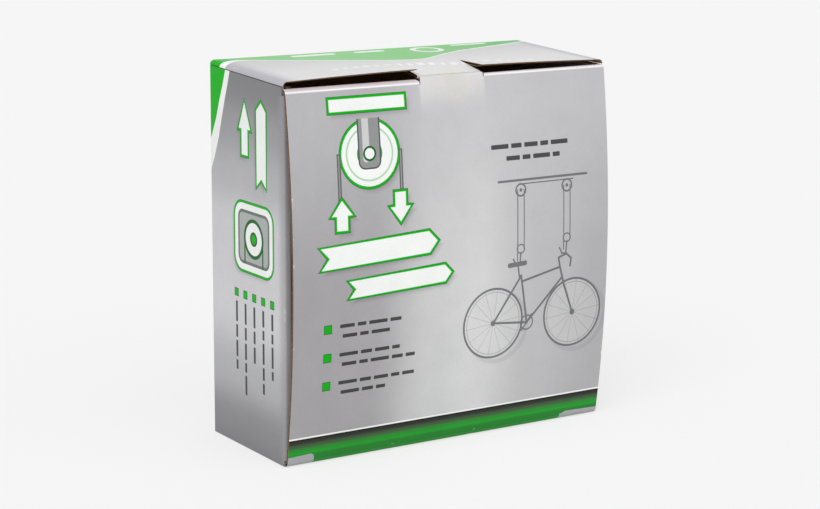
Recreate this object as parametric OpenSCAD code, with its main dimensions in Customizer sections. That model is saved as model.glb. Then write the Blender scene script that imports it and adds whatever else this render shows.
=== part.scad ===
// Retail carton for two bicycle ceiling hoists, standing on its hinge wall with the lid to the front.
// The frame's origin is at the middle of the bottom, +Z is up and the lid faces -Y.
// Inside the modules the carton's own front plane is y = 0, and placed() moves it into the frame.

/* [Carton] */
// Width of the carton over its side walls
carton_w = 250; // [246:1:290]
// Depth from the front of the side walls to the back
carton_d = 100; // [98:1:130]
// Height at the back
carton_h = 254; // [248:1:300]
// Thickness of the corrugated board
board = 2; // [1.5:0.1:2.4]
// Outer radius of the folds at the back and along the top
fold_r = 3; // [2.6:0.1:4]
// Play between boards that lie together
board_play = 0.1; // [0.05:0.05:0.2]
// How much lower the front corners of the top wall are than its back
front_drop = 4.4; // [1:0.2:6]
// Rise of the middle of the top wall's front edge over its corners
top_arch = 2.4; // [0:0.2:4]
// Open seam between the top wall's side folds and the side walls
seam = 0.5; // [0.2:0.1:1]

/* [Lid] */
// How far the lid's middle stands out in front of the side walls
lid_reach = 11; // [6:0.5:13]
// Space between the lid and the front of the side walls
lid_gap = 0.2; // [0.1:0.05:0.5]
// Outer radius of the hinge fold at the bottom and of the lid's top fold
lid_fold_r = 4; // [3.6:0.1:5]
// How far the start of the lid's top fold lies below the top of the carton
lid_drop = 12.4; // [12:0.1:16]
// How much narrower the lid is than the carton at each side
lid_inset = 0.5; // [0.2:0.1:1]
// Rise of the lid's raised middle over the start of its top fold
tab_rise = 5.8; // [4:0.1:6]
// Length of the tuck flaps
flap_l = 28; // [16:1:32]
// Slope of the tuck flaps down from level
flap_tilt = 8; // [8:0.5:12]
// Width of the tongue that is cut out of the top wall
tongue_w = 49; // [40:1:70]
// Length of the cuts at the tongue's sides
tongue_l = 26; // [20:1:40]
// Width of the cuts at the tongue's sides
cut_w = 0.6; // [0.4:0.1:1]

/* [Sheaves] */
// Outer radius of a sheave
sheave_r = 17; // [16:0.5:18]
// Width of a sheave at its rim
sheave_w = 14; // [13:0.5:16]
// Radius of the rope that the groove is cut for
rope_r = 2.75; // [2:0.25:3]
// Radius of the axle rivets
axle_r = 3; // [2.5:0.1:3.5]
// Running clearance between axle and bore, on the radius
axle_play = 0.05; // [0.03:0.01:0.08]
// Inner width of the channels that hold the sheaves
channel_w = 18; // [18:0.5:19]
// Side play of a hub in its channel, at each side
side_play = 0.3; // [0.2:0.1:0.4]

/* [Steel parts] */
// Thickness of the steel strip
strip = 2.5; // [2:0.1:2.6]
// Outer bend radius of the steel strip
bend_r = 3.5; // [3:0.1:4]
// Radius of the cheeks round an axle
cheek_r = 19; // [19:0.1:20]
// Length of the front bracket's base
front_base_l = 140; // [134:1:142]
// Length of the rear bracket's base
rear_base_l = 92; // [80:1:96]
// Distance between the front bracket's two axles
axle_pitch = 48; // [42:0.5:48]
// How far the two axles are moved off the bracket's middle, away from the brake
axle_shift = 10; // [8:0.5:10]
// Radius of the mounting holes
hole_r = 2.75; // [2.5:0.05:3]
// Distance of a mounting hole from the base's end
hole_edge = 8; // [7:0.5:8]

/* [Rope brake] */
// Distance of the brake cam's pivot from the sheave that it works on
cam_reach = 27; // [26:0.5:28]
// Thickness of the brake cam's plate
cam_t = 3; // [2.5:0.5:3.5]
// Gap between the cam's teeth and the bottom of the groove at rest
cam_gap = 2.2; // [2.2:0.1:2.8]
// Radius of the cam's pivot rivet
pivot_r = 2.5; // [2:0.1:2.8]
// Number of teeth on the cam
teeth = 8; // [5:1:10]

/* [Hook blocks] */
// Radius of the hooks' rod
rod_r = 3.2; // [2.8:0.1:3.4]
// Thickness of the dipped sleeve on the rod
sleeve_t = 1.5; // [1:0.1:1.6]
// Play at the sides of each packed hook block
block_play = 1.6; // [1:0.1:3]
// Play between a block's hooks and the front or the back of the carton
hook_play = 7.3; // [6:0.1:12]
// Bend radius of the rod's corners along its centre line
corner_r = 12; // [8:0.5:14]
// Length of the straight shank
shank_l = 22; // [16:1:24]
// Length of the straight tip
tip_l = 14; // [8:1:16]
// Space between a yoke's sheave and its web, for the rope
rope_room = 8; // [6:0.5:9]

/* [Cleat] */
// Length over the horns
cleat_l = 88; // [70:1:90]
// Radius of the horns
horn_r = 5.5; // [4.5:0.1:6]
// Length of the base
cleat_base_l = 52; // [46:1:60]
// Width of the base
cleat_base_w = 18; // [16:0.5:18]
// Thickness of the base
cleat_base_t = 5; // [4:0.5:6]
// Radius of the two posts
post_r = 7; // [6.5:0.1:7.5]
// Distance between the two posts
post_pitch = 28; // [24:1:32]
// Height of the horns' centre line
horn_z = 22; // [20:0.5:24]
// Radius of the cleat's screw holes
cleat_hole_r = 2.4; // [2.2:0.1:2.6]

/* [Screws] */
// Radius of a lag screw's shank
lag_r = 2.5; // [2:0.1:2.5]
// Length of a lag screw's shank
lag_l = 40; // [30:1:42]
// Width of a lag screw's head across its flats
lag_head_w = 10; // [8:0.5:10.5]
// Height of a lag screw's head
lag_head_h = 4.5; // [3:0.5:5]
// Radius of a cleat screw's shank
pan_r = 2; // [1.8:0.1:2.2]
// Length of a cleat screw's shank
pan_l = 32; // [20:1:34]
// Radius of a cleat screw's head
pan_head_r = 4.2; // [3.8:0.1:4.4]
// Height of a cleat screw's head
pan_head_h = 2.6; // [2:0.1:3]

/* [Hidden] */

// Fineness of small rounds, and of the lid's very large ones
round_fn = 48;
bow_fn = 720;
// One overrun serves all cuts
overrun = 1;
// Gap between packed pieces that rest on each other
rest_gap = 0.2;

// Colours as the photograph shows the carton, and plain ones for the hidden pieces
print_grey = "#b9b8bb";
print_pale = "#dcdcde";
steel_black = "#2c2d30";
zinc = "#b4b7bb";
nylon = "#e9e7e0";
dipped = "#1f7a33";

// Carton, worked out from its driving dimensions
half_w = carton_w / 2;
front_y = -(carton_d - lid_reach) / 2;
slot_w = board + 2 * board_play;
side_t = 2 * board + slot_w;
inner_half_w = half_w - side_t;
slope_d = carton_d - fold_r;

// Lock tabs of the side walls
lock_w = 24;
lock_play = 0.2;
lock_height_shares = [0.25, 0.75];
// Round corners of a side wall's rolled front edge
roll_r = 1.2;
// Dust flaps
dust_l = 45;
dust_inset = 6;

// Lid: a large arc from the hinge to the top fold
hinge_z = lid_fold_r;
face_y = -(board + lid_gap);
arc_z = carton_h - lid_drop;
arc_chord = arc_z - hinge_z;
arc_sag = lid_reach + face_y;
arc_r = (pow(arc_chord / 2, 2) + pow(arc_sag, 2)) / (2 * arc_sag);
arc_lean = asin(arc_chord / 2 / arc_r);
arc_centre = [face_y + arc_r * cos(arc_lean), (arc_z + hinge_z) / 2];
lid_half_w = half_w - lid_inset;
fold_centre = [face_y + lid_fold_r * cos(arc_lean), arc_z - lid_fold_r * sin(arc_lean)];
fold_end = 90 - flap_tilt;
flap_root = fold_centre + lid_fold_r * [cos(fold_end), sin(fold_end)];
// Cut that clears the lid's top fold off a side wall's front corner
corner_cut_d = 4.8;
corner_cut_h = 8;
corner_cut_z = arc_z - corner_cut_h / 3;
// The tuck flaps reach from beside the tongue to just inside the side walls
flap_side_play = 2.3;
flap_corner = 10;
flap_in = tongue_w / 2 + cut_w + overrun;
flap_out = inner_half_w - flap_side_play;
// Tongue of the top wall
tongue_play = 0.3;
tab_top = arc_z + tab_rise;
tongue_front_y = face_y + board / cos(arc_lean) + tab_rise * tan(arc_lean) + tongue_play;
tongue_front_z = tab_top + board_play;

// Steps of the top wall's surface across and along
fold_steps = 5;
arch_steps = 24;
slope_steps = 8;

// Sheave
hub_w = channel_w - 2 * side_play;
hub_r = 6;
groove_bottom_r = sheave_r - 2 * rope_r;
groove_mouth_share = 0.8;
recess_in = 8;
recess_out = 10.2;
recess_depth = 4;
spokes = 5;
spoke_w = 2;
// Joint between a sheave's two halves
half_gap = 0.04;

// Brackets: the axles' height leaves the sheaves clear of the base
sheave_clear = 2.5;
bracket_axle_z = strip + sheave_clear + sheave_r;
bracket_h = bracket_axle_z + cheek_r;
bracket_w = channel_w + 2 * strip;
rivet_head_r = 5.5;
rivet_head_t = 1.8;
rivet_play = 0.05;
rivet_dome_share = 0.7;
brake_axle_x = axle_shift - axle_pitch / 2;
lead_axle_x = axle_shift + axle_pitch / 2;
cam_x = brake_axle_x - cam_reach;

// Brake cam: a face that grows with the angle, so the rope pulls it tighter
cam_face_r = cam_reach - groove_bottom_r - cam_gap;
cam_growth = 0.05;
cam_low = -40;
cam_high = 25;
cam_body_r = 7.4;
cam_boss_r = 5.2;
tooth_h = 1;
tail_l = 13;
tail_w = 6;
cam_open = 40;
stop_r = 2;
stop_place_r = 10;
stop_slack = 2;
// The stop stands where the tail meets it at the end of the cam's swing
stop_angle = 180 + cam_open + asin((tail_w / 2 + stop_r) / stop_place_r) + stop_slack;
lug_r = 10;

// Hook block, measured from its axle
web_z = -(sheave_r + rope_room);
bar_z = web_z - strip - rod_r - rivet_play;
sleeve_r = rod_r + sleeve_t;
// The hooks are as large as the carton takes: four blocks stand side by side, and two hooks one behind the other
block_w = (2 * inner_half_w - 5 * block_play) / 4;
bowl_r = block_w / 2 - sleeve_r;
hook_pitch = carton_d - board - 2 * (hook_play + sleeve_r);
shank_x = -(cheek_r - rod_r);
shank_top_z = bar_z - corner_r;
bowl_z = shank_top_z - shank_l;
bowl_x = shank_x + bowl_r;
tip_x = shank_x + 2 * bowl_r;
sleeve_play = 0.05;
sleeve_start_share = 0.35;
block_low = -(bowl_z - bowl_r - sleeve_r);
block_left = -shank_x + sleeve_r;

// Packing: the hook blocks stand on the bottom wall, and on them lie each hoist's two brackets, the front one
// to the lid and the rear one behind it
floor_z = board + rest_gap;
middle_y = (carton_d - board) / 2;
block_axle_z = floor_z + block_low;
row_z = [block_axle_z + cheek_r + rest_gap, block_axle_z + cheek_r + 2 * rest_gap + bracket_h];
bracket_y = bracket_w / 2 + rivet_head_t + rest_gap;
// Small parts lie on the bottom wall between the hooks
small_x = -inner_half_w / 2;
lag_head_r = lag_head_w / sqrt(3);
lag_y = middle_y - hook_pitch / 2 + sleeve_r + rest_gap + lag_head_r;
pan_y = lag_y + lag_head_r + rest_gap + pan_head_r;
cleat_y = pan_y + pan_head_r + rest_gap + cleat_base_w / 2;
// Two screws lie end to end, and the lag screws in two layers
lag_pitch = lag_l + lag_head_h + rest_gap;
pan_pitch = pan_l + pan_head_h + rest_gap;
end_shares = [-0.5, 0.5];

// Moves a piece from the carton's own front plane into the frame
module placed() {
  translate([0, front_y, 0]) children();
}

// The second hoist lies mirrored in the carton, and its brackets in the upper row
module hoist(number) {
  if (number == 1) children();
  else mirror([1, 0, 0]) children();
}

// Draws an outline given in Y and Z as a bar along X, centred on x
module along_x(x, length) {
  translate([x - length / 2, 0, 0]) rotate([90, 0, 90]) linear_extrude(length) children();
}

// Draws an outline given in X and Z as a bar along Y, centred on y
module along_y(y, width) {
  translate([0, y + width / 2, 0]) rotate([90, 0, 0]) linear_extrude(width) children();
}

// A rectangle whose corners are all round
module soft_rect(size, r) {
  translate([r, 0]) square([size[0] - 2 * r, size[1]]);
  translate([0, r]) square([size[0], size[1] - 2 * r]);
  for (x = [r, size[0] - r], y = [r, size[1] - r]) translate([x, y]) circle(r, $fn = round_fn);
}

// A part of a ring between two angles less than a half turn apart
module ring_part(r, t, from, to) {
  far = 2 * r;
  turn = [from, (from + to) / 2, to];
  intersection() {
    difference() {
      circle(r, $fn = round_fn);
      circle(r - t, $fn = round_fn);
    }
    polygon(concat([[0, 0]], [for (a = turn) far * [cos(a), sin(a)]]));
  }
}

// Height of the top wall's surface, which slopes to the front and arches across it
function slope_share(y) = max(0, (slope_d - y) / slope_d);
function top_z(x, y) =
  carton_h - slope_share(y) * (front_drop - top_arch * (1 - pow(x / half_w, 2)));

// Everything in front of and above the plane that the top wall's side edges follow, lowered by drop
module above_slope(drop) {
  far = 2 * carton_h;
  low = carton_h - front_drop - drop;
  slope = front_drop / slope_d;
  along_x(0, 2 * carton_w)
    polygon([[-carton_d, low - slope * carton_d], [2 * carton_d, low + slope * 2 * carton_d],
             [2 * carton_d, far], [-carton_d, far]]);
}

module back_panel() {
  color(print_grey) placed() difference() {
    flat_w = carton_w - 2 * (fold_r + board_play);
    translate([-flat_w / 2, carton_d - board, fold_r + board_play])
      cube([flat_w, board, carton_h - 2 * fold_r - 2 * board_play]);
    for (side = [-1, 1], share = lock_height_shares)
      translate([side * (inner_half_w + board / 2), carton_d - board / 2, carton_h * share])
        cube([board + 2 * board_play, board + 2 * overrun, lock_w + 2 * lock_play], center = true);
  }
}

module bottom_wall() {
  flat_half_w = half_w - board - board_play;
  fold_half_w = half_w - fold_r - board_play;
  hinge_y = face_y + lid_fold_r;
  color(print_grey) placed() {
    translate([-flat_half_w, hinge_y, 0]) cube([2 * flat_half_w, slope_d - hinge_y, board]);
    along_x(0, 2 * lid_half_w)
      translate([hinge_y, hinge_z]) ring_part(lid_fold_r, board, 180, 270);
    along_x(0, 2 * fold_half_w)
      translate([slope_d, fold_r]) ring_part(fold_r, board, 270, 360);
  }
}

// A point of the top wall's outer or inner skin: the radius runs from a centre below the surface
function skin_point(across, along, r) =
  let (x = across[0], a = across[1], side = x < 0 ? -1 : 1)
  let (y = along[0], b = along[1])
  let (n = [side * cos(a), cos(b), sin(a) * sin(b)])
  [x, y, top_z(x, y) - fold_r] + r * n / norm(n);

// Stations across the wall, each with its place and its turn round the fold
function across_stations() = concat(
  [for (i = [0 : fold_steps - 1]) [-(half_w - fold_r), 90 * i / fold_steps]],
  [for (i = [0 : arch_steps]) [(half_w - fold_r) * (2 * i / arch_steps - 1), 90]],
  [for (i = [fold_steps - 1 : -1 : 0]) [half_w - fold_r, 90 * i / fold_steps]]);

// Stations from the back fold to the front edge
function along_stations() = concat(
  [for (i = [0 : fold_steps - 1]) [slope_d, 90 * i / fold_steps]],
  [for (i = [0 : slope_steps]) [slope_d * (1 - i / slope_steps), 90]]);

module top_skin() {
  across = across_stations();
  along = along_stations();
  m = len(across);
  n = len(along);
  skins = m * n;
  points = [for (r = [fold_r, fold_r - board], v = along, u = across) skin_point(u, v, r)];
  cells = [for (v = [0 : n - 2], u = [0 : m - 2]) v * m + u];
  outer = [for (c = cells) each [[c, c + 1, c + m + 1], [c, c + m + 1, c + m]]];
  inner = [for (f = outer) [skins + f[2], skins + f[1], skins + f[0]]];
  rim = concat(
    [for (u = [0 : m - 2]) u],
    [for (v = [0 : n - 2]) v * m + m - 1],
    [for (u = [m - 1 : -1 : 1]) (n - 1) * m + u],
    [for (v = [n - 1 : -1 : 1]) v * m]);
  edge = [for (i = [0 : len(rim) - 1])
    let (p = rim[i], q = rim[(i + 1) % len(rim)])
    each [[p, skins + p, skins + q], [p, skins + q, q]]];
  polyhedron(points, concat(outer, inner, edge));
}

// The cuts free the tongue, which bends down from their ends to the lid's raised middle
module top_wall() {
  root_z = top_z(0, tongue_l);
  cut_out_w = tongue_w + 2 * cut_w;
  color(print_pale) placed() {
    difference() {
      top_skin();
      translate([-cut_out_w / 2, -carton_d + tongue_l, carton_h / 2]) cube([cut_out_w, carton_d, carton_h]);
    }
    along_x(0, tongue_w)
      polygon([[tongue_front_y, tongue_front_z], [tongue_front_y, tongue_front_z - board],
               [tongue_l + overrun, root_z - board], [tongue_l + overrun, root_z]]);
  }
}

module side_wall_plan() {
  difference() {
    union() {
      translate([-half_w, 0]) soft_rect([side_t, slope_d], roll_r);
      translate([-half_w, slope_d / 2]) square([board, slope_d / 2]);
      translate([-half_w + side_t - board, slope_d / 2])
        square([board, carton_d - board - board_play - slope_d / 2]);
    }
    translate([-half_w + board, board]) square([slot_w, carton_d]);
  }
  translate([-half_w + fold_r, slope_d]) ring_part(fold_r, board, 90, 180);
}

// The left side wall: the outer panel reaches the floor, the rolled-in panel stands on the bottom wall
module side_wall() {
  inner_x = -half_w + side_t - board;
  difference() {
    linear_extrude(carton_h) side_wall_plan();
    above_slope(fold_r + seam);
    // The rolled-in panel stands on the bottom wall and clears its fold to the back
    translate([-half_w + board, -overrun, -overrun])
      cube([side_t, slope_d + overrun, board + board_play + overrun]);
    translate([-half_w + fold_r, slope_d - board_play, -overrun])
      cube([side_t, carton_d, fold_r + board_play + overrun]);
    // The front corners clear the lid's hinge fold and its top fold
    translate([-half_w - overrun, -overrun, -overrun])
      cube([side_t + 2 * overrun, face_y + lid_fold_r + board_play + overrun, hinge_z + board_play + overrun]);
    along_x(-half_w, 4 * side_t)
      polygon([[-overrun, corner_cut_z - corner_cut_h * overrun / corner_cut_d],
               [corner_cut_d, corner_cut_z + corner_cut_h], [corner_cut_d, carton_h],
               [-overrun, carton_h]]);
  }
  // Lock tabs through the back panel
  for (share = lock_height_shares)
    translate([inner_x, carton_d - board - board_play - overrun, carton_h * share - lock_w / 2])
      cube([board, board + board_play + overrun, lock_w]);
}

module left_side_wall() {
  color(print_grey) placed() side_wall();
}

module right_side_wall() {
  color(print_grey) placed() mirror([1, 0, 0]) side_wall();
}

// The dust flaps of the top and bottom walls stand inside the rolled side wall
module dust_flaps() {
  x = -half_w + board + board_play;
  flap_d = carton_d - board - 2 * dust_inset;
  difference() {
    translate([x, dust_inset, carton_h - front_drop - fold_r - dust_l])
      cube([board, flap_d, dust_l + front_drop]);
    above_slope(fold_r + board_play);
  }
  translate([x, dust_inset, board + board_play]) cube([board, flap_d, dust_l]);
}

module left_dust_flaps() {
  color(print_grey) placed() dust_flaps();
}

module right_dust_flaps() {
  color(print_grey) placed() mirror([1, 0, 0]) dust_flaps();
}

// The lid's bowed board in section, from the hinge up to its top fold
module lid_arc() {
  far = arc_r + carton_d;
  intersection() {
    translate(arc_centre) difference() {
      circle(arc_r, $fn = bow_fn);
      circle(arc_r - board, $fn = bow_fn);
    }
    polygon([arc_centre, arc_centre + far * [-cos(arc_lean), sin(arc_lean)],
             [face_y - carton_d, hinge_z], [arc_centre[0], hinge_z]]);
  }
}

module lid_fold(to) {
  translate(fold_centre) ring_part(lid_fold_r, board, 180 - arc_lean, to);
}

// The raised middle runs on straight from the arc
module lid_tab() {
  up = [sin(arc_lean), cos(arc_lean)];
  out = [-cos(arc_lean), sin(arc_lean)];
  root = [face_y, arc_z];
  tip = root + up * tab_rise / cos(arc_lean);
  polygon([root, tip, tip - board * out, root - board * out]);
}

module lid_panel() {
  color(print_grey) placed() {
    along_x(0, 2 * lid_half_w) lid_arc();
    along_x(0, tongue_w) lid_tab();
    for (side = [-1, 1]) {
      along_x(side * (flap_in + flap_out) / 2, flap_out - flap_in) lid_fold(fold_end);
      along_x(side * (flap_out + lid_half_w) / 2, lid_half_w - flap_out) lid_fold(90);
    }
  }
}

// The left tuck flap, with its far corners cut off
module tuck_flap() {
  translate([0, flap_root[0], flap_root[1]]) rotate([-flap_tilt, 0, 0]) translate([0, 0, -board])
    linear_extrude(board)
      polygon([[-flap_out, 0], [-flap_in, 0], [-flap_in - flap_corner / 2, flap_l],
               [-flap_out + flap_corner, flap_l], [-flap_out, flap_l - flap_corner]]);
}

module left_tuck_flap() {
  color(print_grey) placed() tuck_flap();
}

module right_tuck_flap() {
  color(print_grey) placed() mirror([1, 0, 0]) tuck_flap();
}

// One moulded half of a sheave, from the middle of its groove outward along the Z axis
module sheave_half() {
  mouth = sheave_w / 2 * groove_mouth_share;
  centre_r = sheave_r - rope_r;
  difference() {
    union() {
      difference() {
        cylinder(h = sheave_w / 2, r = sheave_r, $fn = 96);
        translate([0, 0, sheave_w / 2 - recess_depth]) difference() {
          cylinder(h = recess_depth + overrun, r = recess_out, $fn = 96);
          translate([0, 0, -overrun]) cylinder(h = recess_depth + 3 * overrun, r = recess_in, $fn = 96);
        }
      }
      cylinder(h = hub_w / 2, r = hub_r, $fn = round_fn);
      for (i = [0 : spokes - 1]) rotate([0, 0, 360 * i / spokes])
        translate([recess_in - overrun / 2, -spoke_w / 2, 0])
          cube([recess_out - recess_in + overrun, spoke_w, (sheave_w - overrun) / 2]);
    }
    rotate_extrude($fn = 96) {
      translate([centre_r, 0]) circle(rope_r, $fn = round_fn);
      polygon([[centre_r, -rope_r], [sheave_r + overrun, -mouth],
               [sheave_r + overrun, mouth], [centre_r, rope_r]]);
    }
    translate([0, 0, -overrun]) cylinder(h = hub_w, r = axle_r + axle_play, $fn = round_fn);
  }
}

// A sheave round the Y axis: two halves that meet in the middle of the rope groove
module sheave() {
  for (turn = [-90, 90]) rotate([turn, 0, 0]) translate([0, 0, half_gap / 2]) sheave_half();
}

// A rivet along the Y axis through both cheeks of a channel, headed at both ends
module rivet(r) {
  rotate([90, 0, 0]) {
    cylinder(h = bracket_w, r = r, center = true, $fn = round_fn);
    for (side = [0, 1]) mirror([0, 0, side]) translate([0, 0, bracket_w / 2])
      cylinder(h = rivet_head_t, r1 = rivet_head_r * r / axle_r,
               r2 = rivet_head_r * rivet_dome_share * r / axle_r, $fn = round_fn);
  }
}

// The section of a bent channel, open to the top
module channel_section(height) {
  in_r = bend_r - strip;
  difference() {
    union() {
      translate([-bracket_w / 2, bend_r]) square([bracket_w, height - bend_r]);
      translate([-bracket_w / 2 + bend_r, 0]) square([bracket_w - 2 * bend_r, height]);
      for (side = [-1, 1]) translate([side * (bracket_w / 2 - bend_r), bend_r])
        circle(bend_r, $fn = round_fn);
    }
    translate([-channel_w / 2, strip + in_r]) square([channel_w, height]);
    translate([-channel_w / 2 + in_r, strip]) square([channel_w - 2 * in_r, height]);
    for (side = [-1, 1]) translate([side * (channel_w / 2 - in_r), strip + in_r])
      circle(in_r, $fn = round_fn);
  }
}

// A base with round ends
module base_plate(length) {
  r = bracket_w / 2;
  linear_extrude(strip) {
    square([length - 2 * r, bracket_w], center = true);
    for (side = [-1, 1]) translate([side * (length / 2 - r), 0]) circle(r, $fn = round_fn);
  }
}

module base_holes(length) {
  for (side = [-1, 1]) translate([side * (length / 2 - hole_edge), 0, -overrun])
    cylinder(h = strip + 2 * overrun, r = hole_r, $fn = round_fn);
}

module cheek_outline_front() {
  for (x = [brake_axle_x, lead_axle_x]) translate([x, bracket_axle_z]) circle(cheek_r, $fn = 96);
  translate([brake_axle_x, 0]) square([axle_pitch, bracket_h]);
  translate([brake_axle_x - cheek_r, 0]) square([axle_pitch + 2 * cheek_r, bracket_axle_z]);
  translate([cam_x, 0]) square([cam_reach, bracket_axle_z + lug_r]);
  translate([cam_x - lug_r, 0]) square([lug_r, bracket_axle_z]);
  translate([cam_x, bracket_axle_z]) circle(lug_r, $fn = round_fn);
}

module cheek_outline_rear() {
  translate([0, bracket_axle_z]) circle(cheek_r, $fn = 96);
  translate([-cheek_r, 0]) square([2 * cheek_r, bracket_axle_z]);
}

module stop_place() {
  translate([cam_x + stop_place_r * cos(stop_angle), 0, bracket_axle_z + stop_place_r * sin(stop_angle)])
    children();
}

module rivet_hole(r) {
  rotate([90, 0, 0]) cylinder(h = 2 * bracket_w, r = r + rivet_play, center = true, $fn = round_fn);
}

module front_bracket() {
  difference() {
    union() {
      base_plate(front_base_l);
      intersection() {
        along_x(0, front_base_l) channel_section(bracket_h);
        along_y(0, 2 * bracket_w) cheek_outline_front();
      }
    }
    base_holes(front_base_l);
    for (x = [brake_axle_x, lead_axle_x]) translate([x, 0, bracket_axle_z]) rivet_hole(axle_r);
    translate([cam_x, 0, bracket_axle_z]) rivet_hole(pivot_r);
    stop_place() rivet_hole(stop_r);
  }
}

module rear_bracket() {
  difference() {
    union() {
      base_plate(rear_base_l);
      intersection() {
        along_x(0, rear_base_l) channel_section(bracket_h);
        along_y(0, 2 * bracket_w) cheek_outline_rear();
      }
    }
    base_holes(rear_base_l);
    translate([0, 0, bracket_axle_z]) rivet_hole(axle_r);
  }
}

// Radius of the cam's face at an angle from the line to the sheave
function cam_radius(a) = cam_face_r * (1 + cam_growth * a / cam_high);

// The toothed cam in X and Z round its pivot, with its face to the sheave at +X
module cam_outline() {
  step = (cam_high - cam_low) / teeth;
  circle(cam_body_r, $fn = round_fn);
  translate([-tail_l + tail_w / 2, -tail_w / 2]) square([tail_l - tail_w / 2, tail_w]);
  translate([-tail_l + tail_w / 2, 0]) circle(tail_w / 2, $fn = round_fn);
  polygon(concat([[0, 0]], [for (i = [0 : teeth - 1])
    let (a = cam_low + step * i, b = a + step)
    each [(cam_radius(a) - tooth_h) * [cos(a), sin(a)], cam_radius(b) * [cos(b), sin(b)]]]));
}

module brake_cam() {
  difference() {
    union() {
      along_y(0, cam_t) cam_outline();
      rotate([90, 0, 0]) cylinder(h = hub_w, r = cam_boss_r, center = true, $fn = round_fn);
    }
    rotate([90, 0, 0])
      cylinder(h = 2 * hub_w, r = pivot_r + axle_play, center = true, $fn = round_fn);
  }
}

// Places a front bracket, or what it carries, in its row of the carton
module front_place(number) {
  hoist(number) translate([0, middle_y - bracket_y, row_z[number - 1]]) children();
}

module rear_place(number) {
  hoist(number) translate([0, middle_y + bracket_y, row_z[number - 1]]) children();
}

// Places the handlebar block (0) or the saddle block (1) of a hoist, measured from its axle
module block_place(number, place) {
  x = -inner_half_w + block_play + place * (block_w + block_play) + block_left;
  hoist(number) translate([x, middle_y, block_axle_z]) children();
}

module yoke() {
  height = cheek_r - web_z + strip;
  difference() {
    intersection() {
      translate([0, 0, web_z - strip]) along_x(0, 2 * cheek_r) channel_section(height);
      along_y(0, 2 * bracket_w) {
        circle(cheek_r, $fn = 96);
        translate([-cheek_r, web_z - strip]) square([2 * cheek_r, strip - web_z]);
      }
    }
    rivet_hole(axle_r);
  }
}

// One half of the double hook's rod
module hook_rod_half(r) {
  y = hook_pitch / 2;
  translate([shank_x, 0, bar_z]) rotate([-90, 0, 0]) cylinder(h = y - corner_r, r = r, $fn = round_fn);
  translate([shank_x, y - corner_r, bar_z - corner_r]) rotate([90, 0, 90])
    rotate_extrude(angle = 90, $fn = 96) translate([corner_r, 0]) circle(r, $fn = round_fn);
  hook_end(r, shank_l);
}

// Shank, bowl and tip of one hook, with the length of shank given
module hook_end(r, length) {
  y = hook_pitch / 2;
  translate([shank_x, y, bowl_z]) cylinder(h = length, r = r, $fn = round_fn);
  translate([bowl_x, y, bowl_z]) rotate([90, 0, 0])
    rotate_extrude(angle = -180, $fn = 96) translate([bowl_r, 0]) circle(r, $fn = round_fn);
  translate([tip_x, y, bowl_z]) cylinder(h = tip_l, r = r, $fn = round_fn);
}

module double_hook() {
  for (side = [0, 1]) mirror([0, side, 0]) hook_rod_half(rod_r);
}

// The dipped skin of both hooks, closed over their tips
module sleeves() {
  length = shank_l * (1 - sleeve_start_share);
  for (side = [0, 1]) mirror([0, side, 0]) difference() {
    union() {
      hook_end(sleeve_r, length);
      translate([tip_x, hook_pitch / 2, bowl_z + tip_l]) sphere(sleeve_r, $fn = round_fn);
    }
    hook_end(rod_r + sleeve_play, length + overrun);
  }
}

module cleat() {
  difference() {
    union() {
      linear_extrude(cleat_base_t) {
        square([cleat_base_l - cleat_base_w, cleat_base_w], center = true);
        for (side = [-1, 1]) translate([side * (cleat_base_l - cleat_base_w) / 2, 0])
          circle(cleat_base_w / 2, $fn = round_fn);
      }
      for (side = [-1, 1]) translate([side * post_pitch / 2, 0, 0])
        cylinder(h = horn_z, r = post_r, $fn = round_fn);
      translate([0, 0, horn_z]) rotate([0, 90, 0])
        cylinder(h = cleat_l - 2 * horn_r, r = horn_r, center = true, $fn = round_fn);
      for (side = [-1, 1]) translate([side * (cleat_l / 2 - horn_r), 0, horn_z])
        sphere(horn_r, $fn = round_fn);
    }
    for (side = [-1, 1]) translate([side * post_pitch / 2, 0, -overrun]) {
      cylinder(h = 2 * horn_z, r = cleat_hole_r, $fn = round_fn);
      translate([0, 0, horn_z + overrun])
        cylinder(h = horn_r + overrun, r1 = cleat_hole_r, r2 = 2 * cleat_hole_r, $fn = round_fn);
    }
  }
}

// A screw lying along X, with its head at the low end and its point at the high end
module screw_shank(r, length) {
  point_l = 3 * r;
  rotate([0, 90, 0]) {
    cylinder(h = length - point_l, r = r, $fn = round_fn);
    translate([0, 0, length - point_l]) cylinder(h = point_l, r1 = r, r2 = r / 4, $fn = round_fn);
  }
}

module lag_screw() {
  translate([-lag_head_h, 0, 0]) screw_shank(lag_r, lag_l + lag_head_h);
  rotate([0, 90, 0]) translate([0, 0, -lag_head_h]) rotate([0, 0, 30])
    cylinder(h = lag_head_h, r = lag_head_w / sqrt(3), $fn = 6);
}

module pan_screw() {
  screw_shank(pan_r, pan_l);
  rotate([0, 90, 0]) translate([0, 0, -pan_head_h])
    cylinder(h = pan_head_h, r1 = pan_head_r * rivet_dome_share, r2 = pan_head_r, $fn = round_fn);
}

module front_bracket_of(n) {
  color(steel_black) placed() front_place(n) front_bracket();
}

module front_axles_of(n) {
  color(zinc) placed() front_place(n)
    for (x = [brake_axle_x, lead_axle_x]) translate([x, 0, bracket_axle_z]) rivet(axle_r);
}

module front_sheave_of(n, x) {
  color(nylon) placed() front_place(n) translate([x, 0, bracket_axle_z]) sheave();
}

module brake_cam_of(n) {
  color(zinc) placed() front_place(n) translate([cam_x, 0, bracket_axle_z]) brake_cam();
}

module brake_rivets_of(n) {
  color(zinc) placed() front_place(n) {
    translate([cam_x, 0, bracket_axle_z]) rivet(pivot_r);
    stop_place() rivet(stop_r);
  }
}

module rear_bracket_of(n) {
  color(steel_black) placed() rear_place(n) rear_bracket();
}

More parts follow.
